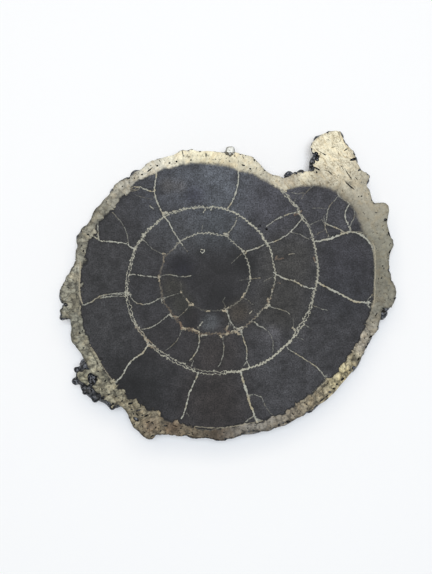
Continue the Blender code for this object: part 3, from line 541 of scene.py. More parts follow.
# (width, strength, points) of the veins and chamber walls
veins = [
    (0.68, 1, [(-24, 41.6), (-24.2, 37.6), (-25.2, 33.6), (-24.4, 30.8), (-23.2, 27.6), (-21.6, 24.4)]),
    (0.56, 1, [(-25.3, 33.2), (-27, 33.5), (-29.3, 34.5), (-31.6, 35.2), (-33.2, 35.1), (-34.4, 34.1),
               (-35.6, 33.6), (-37.4, 31.9)]),
    (0.34, 0.55, [(-35.9, 33.1), (-33.4, 33.4), (-31, 34)]),
    (0.28, 0.3, [(-32.4, 31.9), (-28.9, 30.7), (-25.3, 30)]),
    (0.68, 1, [(8.8, 41.6), (8.8, 37.6), (8.4, 34.4), (7.2, 31.2), (6, 28.4), (4.4, 26.4)]),
    (0.52, 0.75, [(33.2, 25.2), (30, 24.4), (27.2, 23.6), (24.4, 22.4), (22, 20.8), (20, 19.2)]),
    (0.6, 0.95, [(34.4, 22.4), (32, 19.6), (30, 17.2), (27.2, 15.2), (24.4, 13.6), (22, 12.8),
               (20, 12.4), (18.8, 12), (16.4, 10.4), (13.6, 10), (11.6, 8.8)]),
    (0.28, 0.4, [(11.6, 8.8), (9.6, 8), (8, 6.4), (6, 4.4)]),
    (0.32, 0.45, [(30, 16.8), (32.8, 16.4), (35.2, 15.2), (37.2, 14)]),
    (0.64, 1, [(22.8, 0.8), (25.2, -0.8), (28, -2), (30.8, -2.4), (33.2, -3.6), (35.6, -5.6),
               (39.2, -5.6)]),
    (1.04, 1, [(39.2, 13.2), (42.4, 13.6), (45.6, 14.4), (48.8, 15.6), (52, 16.8), (54, 17.2),
               (56.4, 16.8), (58.8, 15.2), (61.2, 13.2), (62.8, 10.8), (63.2, 7.6)]),
    (0.88, 0.8, [(63.2, 7.6), (63.6, 1.6), (63.2, -3.6), (62.8, -8.4)]),
    (0.6, 0.9, [(54, 17.2), (53.4, 18.8), (51.9, 20.8), (51.3, 23.4), (51.3, 25.2), (52.6, 27.2),
               (53.4, 28.4)]),
    (0.5, 0.75, [(53.4, 28.2), (52, 29.4), (50.2, 30.4), (49, 31.4), (48.3, 33)]),
    (0.36, 0.55, [(55, 26.6), (55.4, 24.2), (54.9, 22.2), (54, 20.8), (53.4, 19.4)]),
    (0.56, 0.9, [(51.6, 16.8), (49.6, 17.8), (47.4, 19), (45.6, 19.6), (43.9, 20.4)]),
    (0.42, 0.75, [(44.8, 15.6), (43.8, 17.6), (43.2, 19.2), (43.9, 21.2), (44.2, 24), (44.6, 26.2)]),
    (0.34, 0.5, [(44.4, 26), (45.6, 28), (47, 29.4), (48.4, 31)]),
    (0.34, 0.4, [(43.4, 19.4), (42.6, 21.4), (43.2, 23.4)]),
    (0.32, 0.35, [(37.6, 20), (40, 21.2), (42.4, 22)]),
    (0.32, 0.35, [(38.4, 26.4), (40.8, 26.8), (43.6, 26.4)]),
    (0.32, 0.35, [(38.4, 15.6), (41.6, 16.8), (43.6, 18)]),
    (0.96, 1, [(40.4, -2.8), (41.2, -3.6), (44, -5.2), (46.8, -6.4), (49.2, -7.6), (52, -9.2),
               (54.8, -10.8), (57.6, -11.2), (60, -11.2), (62.4, -11.2)]),
    (0.64, 0.7, [(60, -11.2), (61.2, -9.2), (62.8, -7.6)]),
    (0.64, 0.7, [(60, -11.6), (61.6, -13.6)]),
    (0.36, 0.5, [(38.8, -12.4), (41.6, -13.6), (44.4, -14.4)]),
    (0.36, 0.45, [(35.6, -20.4), (38.4, -22)]),
    (0.36, 0.45, [(32, -25.2), (34.8, -26)]),
    (0.56, 0.8, [(28, -28.8), (28.8, -30), (30.8, -31.2), (33.2, -32.4), (36, -34.4), (38.8, -36),
               (41.2, -38), (42.4, -39.6), (43.6, -41.2)]),
    (1.04, 1, [(9.6, -38.8), (10.4, -42), (11.6, -45.2), (12.4, -48.4), (13.2, -51.2), (14.4, -54.4),
               (15.6, -57.2), (16.4, -59.6)]),
    (0.4, 0.6, [(12.8, -48.4), (14.4, -47.6), (16.4, -48.8), (18, -48.8)]),
    (0.32, 0.35, [(18, -48.8), (19.2, -52), (20.4, -54.4), (22.4, -56)]),
    (0.48, 0.6, [(15.2, -56.8), (13.6, -57.2), (12, -58.8), (10.8, -60)]),
    (0.48, 0.6, [(16, -57.6), (18.4, -58.4), (20.4, -58.8)]),
    (0.72, 0.95, [(-7.2, -39.2), (-8.4, -42.4), (-10.4, -45.6), (-11.2, -48.8), (-12, -52),
               (-12.8, -55.2), (-14, -57.6)]),
    (0.28, 0.3, [(-12, -55.2), (-10.4, -57.6)]),
    (0.76, 1, [(-27.2, -27.2), (-28.4, -30.4), (-30.4, -32.4), (-33.6, -33.6), (-34.8, -35.6),
               (-36.4, -37.6), (-37.2, -40), (-38.8, -41.6), (-40.4, -43.2), (-41.6, -44.4)]),
    (0.48, 0.8, [(-36, -7.2), (-39.2, -7.6), (-43.2, -7.6), (-46, -8.4), (-47.6, -9.2),
               (-49.6, -10.8), (-51.6, -12), (-53.6, -12)]),
    (0.4, 0.75, [(-36, -8.6), (-39.2, -8.6), (-43.2, -8.8), (-46.4, -9.6)]),
    (0.68, 1, [(-32.8, 10), (-34.8, 11.6), (-36.8, 12.8), (-39.6, 12.8), (-42.4, 13.2), (-44.8, 13.2),
               (-46.8, 13.6), (-48, 14.8), (-50, 15.6)]),
    (0.64, 0.85, [(-47, 13.6), (-47.4, 16.8), (-47.6, 19.2), (-47.2, 22)]),
    (0.4, 0.5, [(-41.6, 24.8), (-39.2, 22.4), (-37.2, 20), (-36, 17.2), (-35.6, 14.4), (-35.2, 12.4)]),
    (0.6, 0.95, [(-21.6, 24), (-19.6, 21.6), (-18.4, 19.6), (-17.2, 17.2)]),
    (0.6, 0.85, [(-17.2, 17.2), (-16, 15.2), (-14.8, 13.6), (-13.6, 11.6)]),
    (0.36, 0.45, [(-13.6, 11.6), (-11.6, 9.2)]),
    (0.56, 0.8, [(-4, 26.8), (-5.2, 24.8)]),
    (0.4, 0.5, [(-5.6, 19.6), (-6, 17.2)]),
    (0.48, 0.65, [(8, 23.2), (8, 21.2), (6.8, 19.2), (5.2, 17.2), (4, 15.6)]),
    (0.48, 0.7, [(-30, 14.4), (-28, 12.8)]),
    (0.32, 0.45, [(-28, 12.8), (-26.8, 10.8), (-24.4, 9.6), (-22, 8.4)]),
    (0.56, 0.85, [(-34.8, 0), (-31.2, 0), (-28.8, -0.8), (-25.6, -0.8), (-23.2, -1.2)]),
    (0.44, 0.65, [(-23.2, -1.2), (-20.8, 0), (-18, 0), (-15.2, -0.8), (-12.4, -1.2), (-10.4, -0.4)]),
    (0.48, 0.75, [(-35.6, -6.8), (-34.4, -9.2), (-32.8, -11.2), (-30.4, -12), (-28, -12),
               (-25.6, -11.2), (-22.8, -9.6)]),
    (0.32, 0.45, [(-22.8, -9.6), (-20.4, -9.2), (-18, -8.4), (-15.2, -7.6)]),
    (0.48, 0.75, [(-30, -22), (-27.2, -21.6), (-24.4, -20.4), (-22, -18.4), (-19.6, -16.4),
               (-18.4, -15.6)]),
    (0.32, 0.5, [(-17.6, -17.6), (-15.2, -16.8), (-13.2, -15.6), (-11.6, -13.6), (-10.8, -12.4)]),
    (0.32, 0.45, [(-14, -22.4), (-14.8, -24.8), (-16.4, -27.2), (-18.8, -29.6), (-20.8, -30.4)]),
    (0.6, 0.8, [(-7.2, -23.2), (-6.8, -25.6), (-6.8, -28), (-7.6, -30.4), (-9.2, -32.8), (-10.8, -34.4)]),
    (0.48, 0.6, [(-9.2, -34.4), (-10, -36.8)]),
    (0.44, 0.6, [(2.4, -25.2), (2.8, -27.6), (3.2, -30.4), (2.4, -33.2), (1.6, -35.6), (0.4, -37.2)]),
    (0.64, 0.85, [(10, -22.4), (10.4, -25.2), (11.6, -27.6), (12.4, -30.4), (12, -33.2), (12, -34.8),
               (13.2, -36.8)]),
    (0.48, 0.6, [(12, -34.8), (10.8, -36.4)]),
    (0.52, 0.75, [(14.8, -18.8), (16.8, -20.4), (19.2, -21.6)]),
    (0.36, 0.5, [(19.2, -21.6), (21.2, -23.2), (22.4, -25.2), (22.8, -28), (22.4, -31.2)]),
    (0.4, 0.6, [(21.2, -12.8), (23.6, -13.6), (26.4, -14), (28.4, -15.2), (29.6, -16)]),
    (0.32, 0.3, [(30.8, -17.6), (30.8, -20.8)]),
    (0.32, 0.3, [(22.4, -0.8), (20.4, -2), (18.8, -2.8)]),
    (0.56, 0.8, [(4.4, -14.8), (4.8, -17.2), (6, -19.6), (7.6, -21.6), (9.2, -22.4)]),
    (0.44, 0.55, [(5.2, -18.4), (4.8, -20.8), (4, -22.4)]),
    (0.28, 0.35, [(3.6, -8.8), (2.4, -10.4), (3.6, -12.8)]),
    (0.32, 0.4, [(10.8, -9.2), (12.8, -10.4), (14.4, -12)]),
    (0.48, 0.55, [(13.6, -1.6), (15.6, -1.6), (17.6, -1.2)]),
    (0.52, 0.65, [(-54.4, 2.4), (-54.6, -1.6), (-55, -6.4), (-54.2, -11.6), (-54.8, -15.2)]),
    (0.48, 0.65, [(-8, -61.6), (-4, -62.4), (-1.2, -62.2), (2, -61.2), (5.6, -60.8), (9.6, -60.4)]),
    (0.48, 0.5, [(43.2, -40.8), (45.2, -39.6), (43.2, -42.8), (40.8, -44.8), (38.4, -47.2)]),
    (0.34, 0.45, [(30.1, 32.7), (31.8, 32.2), (33.7, 32.4), (35.2, 32.8), (35.1, 31.5), (33.7, 30.2)]),
    (0.34, 0.45, [(31.8, 30.5), (30.8, 28.5), (31.5, 27.3), (32.8, 27.6)]),
    (0.5, 0.28, [(35.4, 32.2), (36.6, 33.4), (38.1, 35.3), (39.8, 36.1), (41.7, 36.1)]),
    (0.34, 0.45, [(55.4, 17.4), (57.4, 17.2), (59.4, 16.4)]),
    (0.3, 0.35, [(13.6, -2.2), (11.6, -1.9), (9.4, -2.4)]),
    (0.5, 1, [(-4.75, 9.4), (-5.18, 10.14), (-6.03, 10.14), (-6.45, 9.4), (-6.02, 8.66),
               (-5.17, 8.66), (-4.75, 9.4)]),
    (0.4, 0.9, [(-22, -9.8), (-21.9, -11.3), (-21.1, -11.6), (-20.8, -10.4), (-21.4, -9.6), (-22, -9.8)]),
]

# short marks of mineral where walls meet: from x, y to x, y, width, how rusty
marks = [
    (-23.6, -0.9, -22.4, -0.8, 1.2, 0.35), (-23.1, -1, -22.9, -2.5, 0.9, 0.5),
               (-22, 8.4, -20.4, 8.2, 0.7, 0.5),
    (-21.3, 8, -21, 5.3, 0.5, 0.7), (-18.8, -16.2, -17.5, -16.9, 1.3, 0.2),
               (-16.9, -16.7, -15.5, -17.3, 0.9, 0.9),
    (-13.4, -21.2, -12.5, -21.9, 1, 0.3), (-14.6, -19, -13.9, -21.6, 1.2, 1),
               (-11.2, -21.2, -9.6, -21.8, 1, 0.8),
    (-9.4, -22, -7.8, -22.6, 1, 0.4), (-5.9, -24.3, -3.9, -24.1, 1.1, 0.1),
               (-7, -22.8, -6.7, -24.6, 0.9, 0.3),
    (1.4, -24.4, 2.2, -25.2, 1, 0.45), (4, -23.9, 5.3, -23.2, 1.2, 0.5), (4, -22.4, 4.2, -20.8, 0.8, 0.5),
    (7.5, -22.8, 9, -23.9, 1.3, 0.4), (5.9, -22.8, 9.2, -21.4, 0.8, 0.2),
               (9.2, -21.4, 10.4, -21.2, 1.1, 0.1),
    (3, -21.8, 5.4, -23.2, 0.6, 1), (15.4, -19.2, 16.2, -19.8, 1, 0.1),
               (19.4, -13.4, 21.1, -12.3, 1.1, 0.2),
    (20.3, -10.6, 21.7, -9.8, 0.8, 0.9), (20.9, -11, 20.6, -9.6, 0.9, 0.4),
               (22.4, -5.9, 22, -7.4, 0.8, 0.1),
    (3.1, 16.5, 4.7, 15.7, 1.2, 0.15), (10.6, 9.4, 11.5, 8.4, 1.1, 0.1), (13.3, -0.8, 14, -1.6, 1, 0.2),
    (11.3, -7.4, 10.3, -9.2, 0.9, 0.5), (-12, -9.8, -11.2, -10.9, 0.8, 0.3),
               (-10.9, -12.3, -9.4, -12, 1, 0.5),
    (-14.3, -6.7, -13.9, -7.2, 0.8, 0.4), (-4.2, -14.8, -2.8, -14.5, 0.9, 0.6),
               (2.5, -14.4, 3.6, -14.6, 1.1, 0.4),
    (3.9, -13.8, 4.8, -13.2, 0.8, 0.1), (-6.7, -20.7, -5.6, -19.1, 0.8, 0.1),
               (13.2, -15.4, 14.2, -14.6, 0.6, 0.2),
    (24.1, 7.4, 23.5, 6.1, 0.8, 0.8), (24.5, 5.9, 26.8, 6.5, 0.7, 0.85), (28.8, 8.1, 31.2, 8.3, 0.5, 0.2),
    (23.9, -3.1, 25.5, -3.5, 0.6, 0.8), (31.2, 23.8, 32.9, 24.2, 1, 0.95),
               (32.9, 24.2, 34.1, 25.6, 0.8, 0.8),
    (38.7, 6.9, 39.4, 5.6, 0.9, 0.8), (-28.1, -26.1, -27.5, -27, 1.3, 0.4),
               (-26.8, -28.2, -25.8, -29, 1.4, 0.7),
    (-28.9, -25.1, -28.3, -25.8, 1, 0.8), (-34.9, -7.2, -34.4, -8, 1.1, 0.1),
               (30.6, -21.4, 31.4, -22.2, 1.3, 0.2),
    (-29.4, 16.2, -28.6, 15.6, 1.1, 0.1), (-21.4, 24.6, -19.8, 24.8, 1.2, 0.1),
               (-17.2, 25.2, -15.8, 25.6, 1, 0.1),
    (-26.6, 27.4, -25.2, 26.4, 0.6, 0.1), (31.2, -2.4, 32.2, -3.2, 0.8, 0.1),
               (-2.2, 25.8, -1.6, 27, 1, 0.05),
]

# the coiled shell wall changes as it winds in: turn, gap between its two lines, width of a line, strength, rust
wallStyle = [
    (-0.16, 0.45, 0.42, 0.85, 0.10), (-0.06, 0.45, 0.48, 0.85, 0.15), (-0.03, 0.10, 1.10, 0.72, 0.30),
    (0.04, 0.10, 1.10, 0.72, 0.30), (0.06, 0.95, 0.45, 0.90, 0.10), (0.10, 0.70, 0.60, 0.95, 0.10),
    (0.12, 0.10, 0.95, 1.00, 0.00), (0.21, 0.10, 0.95, 1.00, 0.00), (0.24, 0.90, 0.40, 0.85, 0.10),
    (0.34, 0.90, 0.40, 0.85, 0.20), (0.37, 0.60, 0.60, 0.90, 0.55), (0.41, 0.50, 0.60, 0.90, 0.45),
    (0.44, 0.76, 0.38, 0.85, 0.10), (0.50, 0.66, 0.38, 0.88, 0.05), (0.54, 0.45, 0.55, 0.90, 0.00),
    (0.61, 0.35, 0.52, 0.90, 0.00), (0.64, 0.45, 0.42, 0.92, 0.05), (0.74, 0.28, 0.42, 0.88, 0.05),
    (0.78, 0.24, 0.52, 1.00, 0.00), (0.93, 0.24, 0.58, 1.00, 0.00), (0.97, 0.10, 0.48, 0.90, 0.20),
    (1.03, 0.20, 0.36, 0.60, 0.45), (1.22, 0.30, 0.36, 0.60, 0.55), (1.27, 0.35, 0.40, 0.50, 0.80),
    (1.38, 0.40, 0.40, 0.50, 0.80), (1.42, 0.25, 0.36, 0.38, 0.60), (1.58, 0.25, 0.36, 0.38, 0.55),
    (1.64, 0.12, 0.42, 0.85, 0.10), (1.80, 0.08, 0.42, 0.85, 0.05), (2.04, 0.08, 0.40, 0.72, 0.05),
    (2.08, 0.15, 0.45, 0.40, 0.35), (2.20, 0.20, 0.45, 0.35, 0.40), (2.26, 0.10, 0.40, 0.15, 0.30),
    (2.45, 0.10, 0.40, 0.10, 0.30),
]


def nearestOnLines(points, lines):   # offset to the nearest point, which line, how far along it, which side
    best = np.full(len(points), np.inf)
    offset = np.zeros((len(points), 2))
    which = np.zeros(len(points), int)
    along = np.zeros(len(points))
    side = np.zeros(len(points))
    for number, line in enumerate(lines):
        line = np.asarray(line, float)
        reach = 0.0
        for start, end in zip(line[:-1], line[1:]):
            step = end - start
            length = np.hypot(*step)
            toStart = points - start
            f = np.clip(toStart @ step / length ** 2, 0, 1)
            away = toStart - f[:, None] * step
            distance = np.hypot(away[:, 0], away[:, 1])
            nearer = distance < best
            best[nearer] = distance[nearer]
            offset[nearer] = away[nearer]
            which[nearer] = number
            along[nearer] = reach + f[nearer] * length
            side[nearer] = np.sign(step[0] * toStart[nearer, 1] - step[1] * toStart[nearer, 0])
            reach += length
    return best, offset, which, along, side


def softened(line):   # the listed corners are rounded once
    line = np.asarray(line, float)
    between = (line[:-1] + line[1:]) / 2
    return np.concatenate([line[:1], between, line[-1:]]) if len(line) > 3 else line


def nameAttribute(mesh, name, kind, values):
    layer = mesh.attributes.new(name, kind, "POINT")
    layer.data.foreach_set({"FLOAT": "value", "FLOAT_VECTOR": "vector", "FLOAT_COLOR": "color"}[kind],
                           np.ascontiguousarray(values, dtype=np.float32).ravel())


fillSpots = {   # where the dark filling differs: x, y, reach, colour; the first, lighter and bluer at the top of the outer whorl, is a painted sheen
    "paintedSheenTop": (0, 36, 13, (101, 106, 113)), "topLeft": (-15, 32, 12, (81, 84, 90)),
    "smudgeOne": (-19.4, 35.4, 2.2, (98, 97, 97)), "smudgeTwo": (-14.6, 35.2, 2.0, (98, 97, 98)),
    "smudgeDark": (-8.8, 31.6, 3.2, (66, 67, 79)),
    "topRight": (21, 31, 12, (80, 81, 87)), "left": (-46, 1, 14, (68, 69, 71)),
    "lowerLeft": (-46, -22, 12, (69, 70, 72)), "bottomLeft": (-35, -46, 12, (48, 48, 50)),
    "bottom": (0, -50, 11, (63, 61, 61)), "bottomRight": (29, -42, 15, (76, 77, 80)),
    "chamberBlack": (50, 3, 9, (68, 69, 74)), "chamberTop": (46, 27, 10, (78, 79, 84)),
    "chamberLow": (52, -6, 8, (66, 68, 72)), "secondRight": (29, 5, 9, (73, 73, 72)),
    "secondTop": (0, 21, 8, (77, 81, 85)), "secondTopLeft": (-15, 19, 7, (80, 82, 85)),
    "secondLeft": (-28, -6, 8, (63, 64, 67)), "secondLow": (-20, -26, 8, (63, 63, 65)),
    "secondBottom": (0, -31, 8, (66, 64, 64)), "secondLowRight": (25, -14, 8, (68, 68, 67)),
    "heart": (0, 0, 9, (54, 55, 57)), "heartLow": (2.5, -10, 5, (45, 46, 53)), "heartRight": (11, 4.4, 3.6, (34, 37, 46)),
    "heartDark": (-14, 2.6, 3.6, (44, 49, 56)), "lowBrown": (8.5, -15, 3.4, (73, 70, 66)),
    "leftOlive": (-18, -5, 3.6, (67, 67, 64)), "leftOliveLow": (-14, -12, 3.4, (63, 64, 62)),
    "heartLeft": (-10, -18, 4, (51, 51, 52)), "paleOne": (-2.8, -19.2, 2.6, (86, 89, 92)),
    "paleTwo": (22.2, -25.0, 2.8, (98, 98, 102)),
}
rimStops = [   # round the rim: bearing in degrees, colour, softness of its inner boundary, how wormy, how lobed, how dark its outer edge; the colours carry painted light as well as the rim's own colour: brighter and creamier at the top as if lit from above, darker and browner at the bottom
               # how dark its outer edge
    (0, (134, 132, 120), 0.5, 0.1, 0.1, 0.4), (14, (150, 148, 135), 0.7, 0.1, 0.1, 0.4),
    (24, (166, 161, 146), 1.1, 0.1, 0.0, 0.3), (33, (188, 182, 164), 1.2, 0.4, 0.1, 0.2),
    (41, (230, 222, 198), 1.0, 0.9, 0.1, 0.2), (48, (246, 238, 210), 0.8, 0.8, 0.1, 0.15),
    (55, (234, 226, 202), 0.8, 0.7, 0.1, 0.2), (62, (208, 202, 183), 0.9, 0.3, 0.1, 0.3),
    (72, (225, 219, 197), 0.9, 0.2, 0.1, 0.12), (84, (246, 237, 208), 1.0, 0.3, 0.1, 0.08),
    (96, (249, 241, 210), 0.9, 0.3, 0.1, 0.08), (106, (246, 240, 215), 0.8, 0.2, 0.2, 0.1),
    (118, (243, 238, 220), 0.6, 0.1, 0.2, 0.2), (130, (199, 195, 181), 0.5, 0.1, 0.3, 0.3),
    (150, (151, 148, 135), 0.4, 0.1, 0.5, 0.5), (180, (163, 161, 147), 0.3, 0.1, 0.7, 0.5),
    (200, (142, 141, 129), 0.3, 0.2, 0.7, 0.5), (222, (170, 167, 148), 0.3, 0.35, 0.7, 0.5),
    (238, (147, 141, 123), 0.3, 0.6, 0.8, 0.5), (254, (145, 136, 119), 0.3, 0.5, 0.6, 0.6),
    (270, (101, 93, 84), 0.3, 0.2, 0.4, 0.8), (284, (152, 149, 142), 0.3, 0.2, 0.4, 0.7),
    (300, (148, 140, 126), 0.3, 0.3, 0.6, 0.6), (318, (180, 171, 145), 0.3, 0.5, 0.8, 0.5),
    (326, (186, 178, 152), 0.3, 0.5, 0.8, 0.5), (334, (184, 177, 163), 0.3, 0.4, 0.6, 0.5),
    (347, (140, 138, 127), 0.3, 0.1, 0.3, 0.4), (360, (134, 132, 120), 0.5, 0.1, 0.1, 0.4),
]

rimSpots = {   # where the rim differs: x, y, reach, colour
    "goldOne": (50.1, -38.8, 2.2, (204, 195, 158)), "goldTwo": (47.2, -43.4, 2.0, (190, 181, 149)),
    "goldThree": (54.4, -33.6, 2.0, (162, 156, 134)), "reddish": (-17.6, -61.2, 2.4, (128, 110, 94)),
    "neckShade": (29.6, 38.8, 3.4, (182, 175, 160)), "neckRight": (41.4, 39.0, 3.6, (192, 185, 166)),
    "island": (-53.3, -41.3, 2.4, (140, 138, 120)), "brownish": (-26.4, -60.6, 2.6, (118, 106, 94)),
}
seams = [   # lines in the rim: half width, strength (below 0 for dark ones), points
    (0.42, 0.85, [(-54.4, 5.2), (-54.6, 2), (-54.7, -1.6), (-54.9, -5.6), (-54.5, -9.9), (-53.6, -11.5)]),
    (0.34, 0.8, [(-54.5, -12.7), (-54.7, -14.4), (-54.9, -16.3)]),
    (0.3, 0.8, [(62.6, 12.6), (63.5, 9.1), (63.6, 5.2), (63.7, -1.7), (63, -7.4), (63.5, -10.8), (62.4, -13.2)]),
    (0.3, 0.8, [(44.6, -41.8), (42.4, -44), (40, -46.4)]),
    (0.26, 0.6, [(-8.6, -60.8), (-1.7, -61.6), (5.3, -61.2), (11.4, -59.9), (18.4, -58.4)]),
    (0.26, 0.6, [(-50.6, -28.1), (-48.1, -32.4), (-46, -36.3), (-43.5, -39.8), (-41, -43.4)]),
    (0.26, -0.8, [(-62.4, -9.9), (-60.4, -10.9), (-58.1, -11.1)]),
    (0.16, -0.6, [(-61.6, -3.8), (-59.2, -4.2), (-56.9, -3.8)]),
    (0.16, -0.6, [(-58.9, 0.8), (-57.6, -0.4), (-55.9, -0.8)]),
    (0.24, -0.7, [(-55.8, 2.8), (-55.9, 0.4), (-56.5, -1.6), (-55.9, -3.6), (-56.5, -5.6), (-56, -7.6), (-56, -9.6)]),
    (0.22, -0.6, [(-51.4, -28.8), (-48.9, -33), (-46.8, -37), (-44.3, -40.6), (-41.9, -44.1)]),
    (0.22, -0.7, [(45, -42.8), (42.8, -45), (40.6, -47.2)]),
    (0.24, -0.7, [(39.7, 50.5), (40.7, 49.5), (42.3, 48.5), (43.5, 47.7)]),   # creases of the spur
    (0.2, -0.5, [(43.3, 43.9), (44.6, 43.1), (45.5, 42.3)]), (0.22, -0.6, [(43.3, 41.8), (44.8, 41.1), (46.3, 40)]),
    (0.34, -0.6, [(51.3, 37.5), (52.4, 36.5), (53.8, 34.6)]), (0.3, -0.5, [(53, 37), (54.1, 35.8), (55.4, 35)]),
    (0.16, -0.5, [(49.2, 45.5), (50.4, 44), (51.4, 42.3), (52.4, 40.5), (53.4, 38.9), (54.6, 37.6)]),
    (0.2, -0.7, [(52.3, 50.3), (51, 49.5)]), (0.2, -0.45, [(48.8, 56.7), (49.4, 55.2), (49.3, 54.4)]),
    (0.16, -0.45, [(57.4, 40.4), (58.2, 39.2)]), (0.16, -0.4, [(57.2, 36.6), (58.4, 37), (59.5, 36.4)]),
    (0.16, -0.4, [(45.8, 52.4), (47.2, 52.1), (48.2, 51.2)]), (0.16, -0.4, [(46.8, 47.2), (48.6, 46.6), (49.6, 45.2)]),
    (0.16, -0.45, [(-35.6, 36.9), (-33.6, 38.6), (-31.2, 40.3)]), (0.16, -0.4, [(1, 44.6), (1.4, 46.6), (2.2, 47.6)]),
]


markStrength = 0.85
veil, brightness = np.array([0.027, 0.029, 0.031]), 1.07   # the sheen that the pale studio lays over the face, and how bright it is lit


def linear(colour):   # from 0-255 as seen to the light values that shaders take
    c = np.asarray(colour, float) / 255
    return np.where(c <= 0.04045, c / 12.92, ((c + 0.055) / 1.055) ** 2.4)


def painted(colour):   # what to paint so that the colour is seen under the studio's light
    return np.maximum(linear(colour) - veil, 0.004) / brightness


def rgba(colour):
    return (*painted(colour), 1.0)


def drawOnFace(stone):
    mesh = stone.data
    points = getPoints(stone)
    sawn = np.abs(points[:, 2]) < 0.002
    flat = points[sawn, :2]

    def spread(values, dimensions, elsewhere=0.0):
        everywhere = np.full((len(points), dimensions), elsewhere)
        everywhere[sawn] = np.reshape(values, (-1, dimensions))
        return everywhere

    lines = [softened(line) for _, _, line in veins] + [[mark[:2], mark[2:4]] for mark in marks]
    distance, offset, which, _, _ = nearestOnLines(flat, lines)
    styles = np.array([(width, strength, 0) for width, strength, _ in veins]
                      + [(width, markStrength, rust) for *_, width, rust in marks])
    nameAttribute(mesh, "veinOffset", "FLOAT_VECTOR", spread(np.c_[offset, distance], 3, 9.0))
    nameAttribute(mesh, "veinStyle", "FLOAT_VECTOR", spread(styles[which], 3))

    wall = np.asarray(face["wallLine"], float)
    distance, _, _, along, side = nearestOnLines(flat, [wall])
    bearings = np.unwrap(np.arctan2(wall[:, 1], wall[:, 0]))
    turns = -bearings / (2 * np.pi)
    lengths = np.concatenate([[0], np.cumsum(np.hypot(*np.diff(wall, axis=0).T))])
    turn = np.interp(along, lengths, turns)
    style = np.array(wallStyle)
    nameAttribute(mesh, "wallPlace", "FLOAT_VECTOR", spread(np.c_[distance * side, along, distance], 3, 9.0))
    nameAttribute(mesh, "wallStyle", "FLOAT_VECTOR",
                  spread(np.stack([np.interp(turn, style[:, 0], style[:, i]) for i in (1, 2, 3)], 1), 3))
    nameAttribute(mesh, "wallRust", "FLOAT", spread(np.interp(turn, style[:, 0], style[:, 4]), 1))

    inner = np.asarray(face["innerLine"], float)
    distance, _, _, _, side = nearestOnLines(flat, [inner])
    outline = np.array(rim["outline"] + rim["outline"][:1])
    toEdge, _, _, _, _ = nearestOnLines(flat, [outline])
    bearing = np.degrees(np.arctan2(flat[:, 1], flat[:, 0])) % 360
    stops = np.array([stop[0] for stop in rimStops])
    softness = np.interp(bearing, stops, [stop[2] for stop in rimStops])
    worn = np.stack([np.interp(bearing, stops, [stop[i] for stop in rimStops]) for i in (3, 4, 5)], 1)
    # the rim colours round the bearing carry painted light: brighter at the top, darker and browner at the bottom
    colours = np.array([painted(stop[1]) for stop in rimStops])
    colour = np.stack([np.interp(bearing, stops, colours[:, i]) for i in range(3)] + [np.ones(len(flat))], 1)
    total = 1.0
    for x, y, reach, spotColour in rimSpots.values():
        weight = 3 * np.exp(-((flat[:, :1] - x) ** 2 + (flat[:, 1:] - y) ** 2) / reach ** 2)
        colour = colour + weight * np.append(painted(spotColour), 1.0)
        total = total + weight
    colour = colour / total
    seamDistance, seamOffset, which, _, _ = nearestOnLines(flat, [softened(line) for _, _, line in seams])
    seamStyle = np.array([(width, strength) for width, strength, _ in seams])[which]
    nameAttribute(mesh, "seamOffset", "FLOAT_VECTOR", spread(np.c_[seamOffset, seamDistance], 3, 9.0))
    nameAttribute(mesh, "seamStyle", "FLOAT_VECTOR", spread(np.c_[seamStyle, seamDistance * 0], 3))
    nameAttribute(mesh, "rimPlace", "FLOAT_VECTOR", spread(np.c_[-distance * side, toEdge, softness], 3))
    nameAttribute(mesh, "rimWorn", "FLOAT_VECTOR", spread(worn, 3))
    lengthwise = nearestOnLines(flat, [outline])[3]
    grain = math.radians(-52)
    onHorn = (bearing > 38) & (bearing < 60)
    crackPlace = np.where(onHorn[:, None],
                          np.c_[flat @ (math.cos(grain), math.sin(grain)) / 5.0,
                                flat @ (-math.sin(grain), math.cos(grain)) / 1.7, bearing * 0],
                          np.c_[lengthwise / 2.7, toEdge / 3.4, bearing * 0])
    nameAttribute(mesh, "crackPlace", "FLOAT_VECTOR", spread(crackPlace, 3))
    nameAttribute(mesh, "rimColourAndLight", "FLOAT_COLOR", spread(colour, 4))

    total = np.full((len(flat), 1), 0.25)
    tint = total * painted((68, 69, 72))
    for x, y, reach, spotColour in fillSpots.values():
        weight = np.exp(-((flat[:, :1] - x) ** 2 + (flat[:, 1:] - y) ** 2) / reach ** 2)
        weight *= 2 if reach < 4 else 1
        tint = tint + weight * painted(spotColour)
        total = total + weight
    nameAttribute(mesh, "fillColour", "FLOAT_COLOR", spread(np.c_[tint / total, np.ones(len(flat))], 4))
    return sawn


# ---- materials ----

def feed(tree, socket, value):
    if isinstance(value, bpy.types.NodeSocket):
        tree.links.new(value, socket)
    else:
        socket.default_value = value


def maths(tree, operation, *values, clamp=False):
    node = tree.nodes.new("ShaderNodeMath")
    node.operation = operation
    node.use_clamp = clamp
    for socket, value in zip(node.inputs, values):
        feed(tree, socket, value)
    return node.outputs[0]


def vectors(tree, operation, *values):
    node = tree.nodes.new("ShaderNodeVectorMath")
    node.operation = operation
    for socket, value in zip(node.inputs, values):
        feed(tree, socket, value)
    return node.outputs["Value" if operation in ("LENGTH", "DISTANCE", "DOT_PRODUCT") else "Vector"]


def scaled(tree, vector, factor):
    node = tree.nodes.new("ShaderNodeVectorMath")
    node.operation = "SCALE"
    feed(tree, node.inputs[0], vector)
    feed(tree, node.inputs["Scale"], factor)
    return node.outputs["Vector"]


def ease(tree, value, low, high):   # 0 below low, 1 above high, smooth between
    node = tree.nodes.new("ShaderNodeMapRange")
    node.interpolation_type = "SMOOTHSTEP"
    feed(tree, node.inputs["Value"], value)
    feed(tree, node.inputs["From Min"], low)
    feed(tree, node.inputs["From Max"], high)
    return node.outputs["Result"]


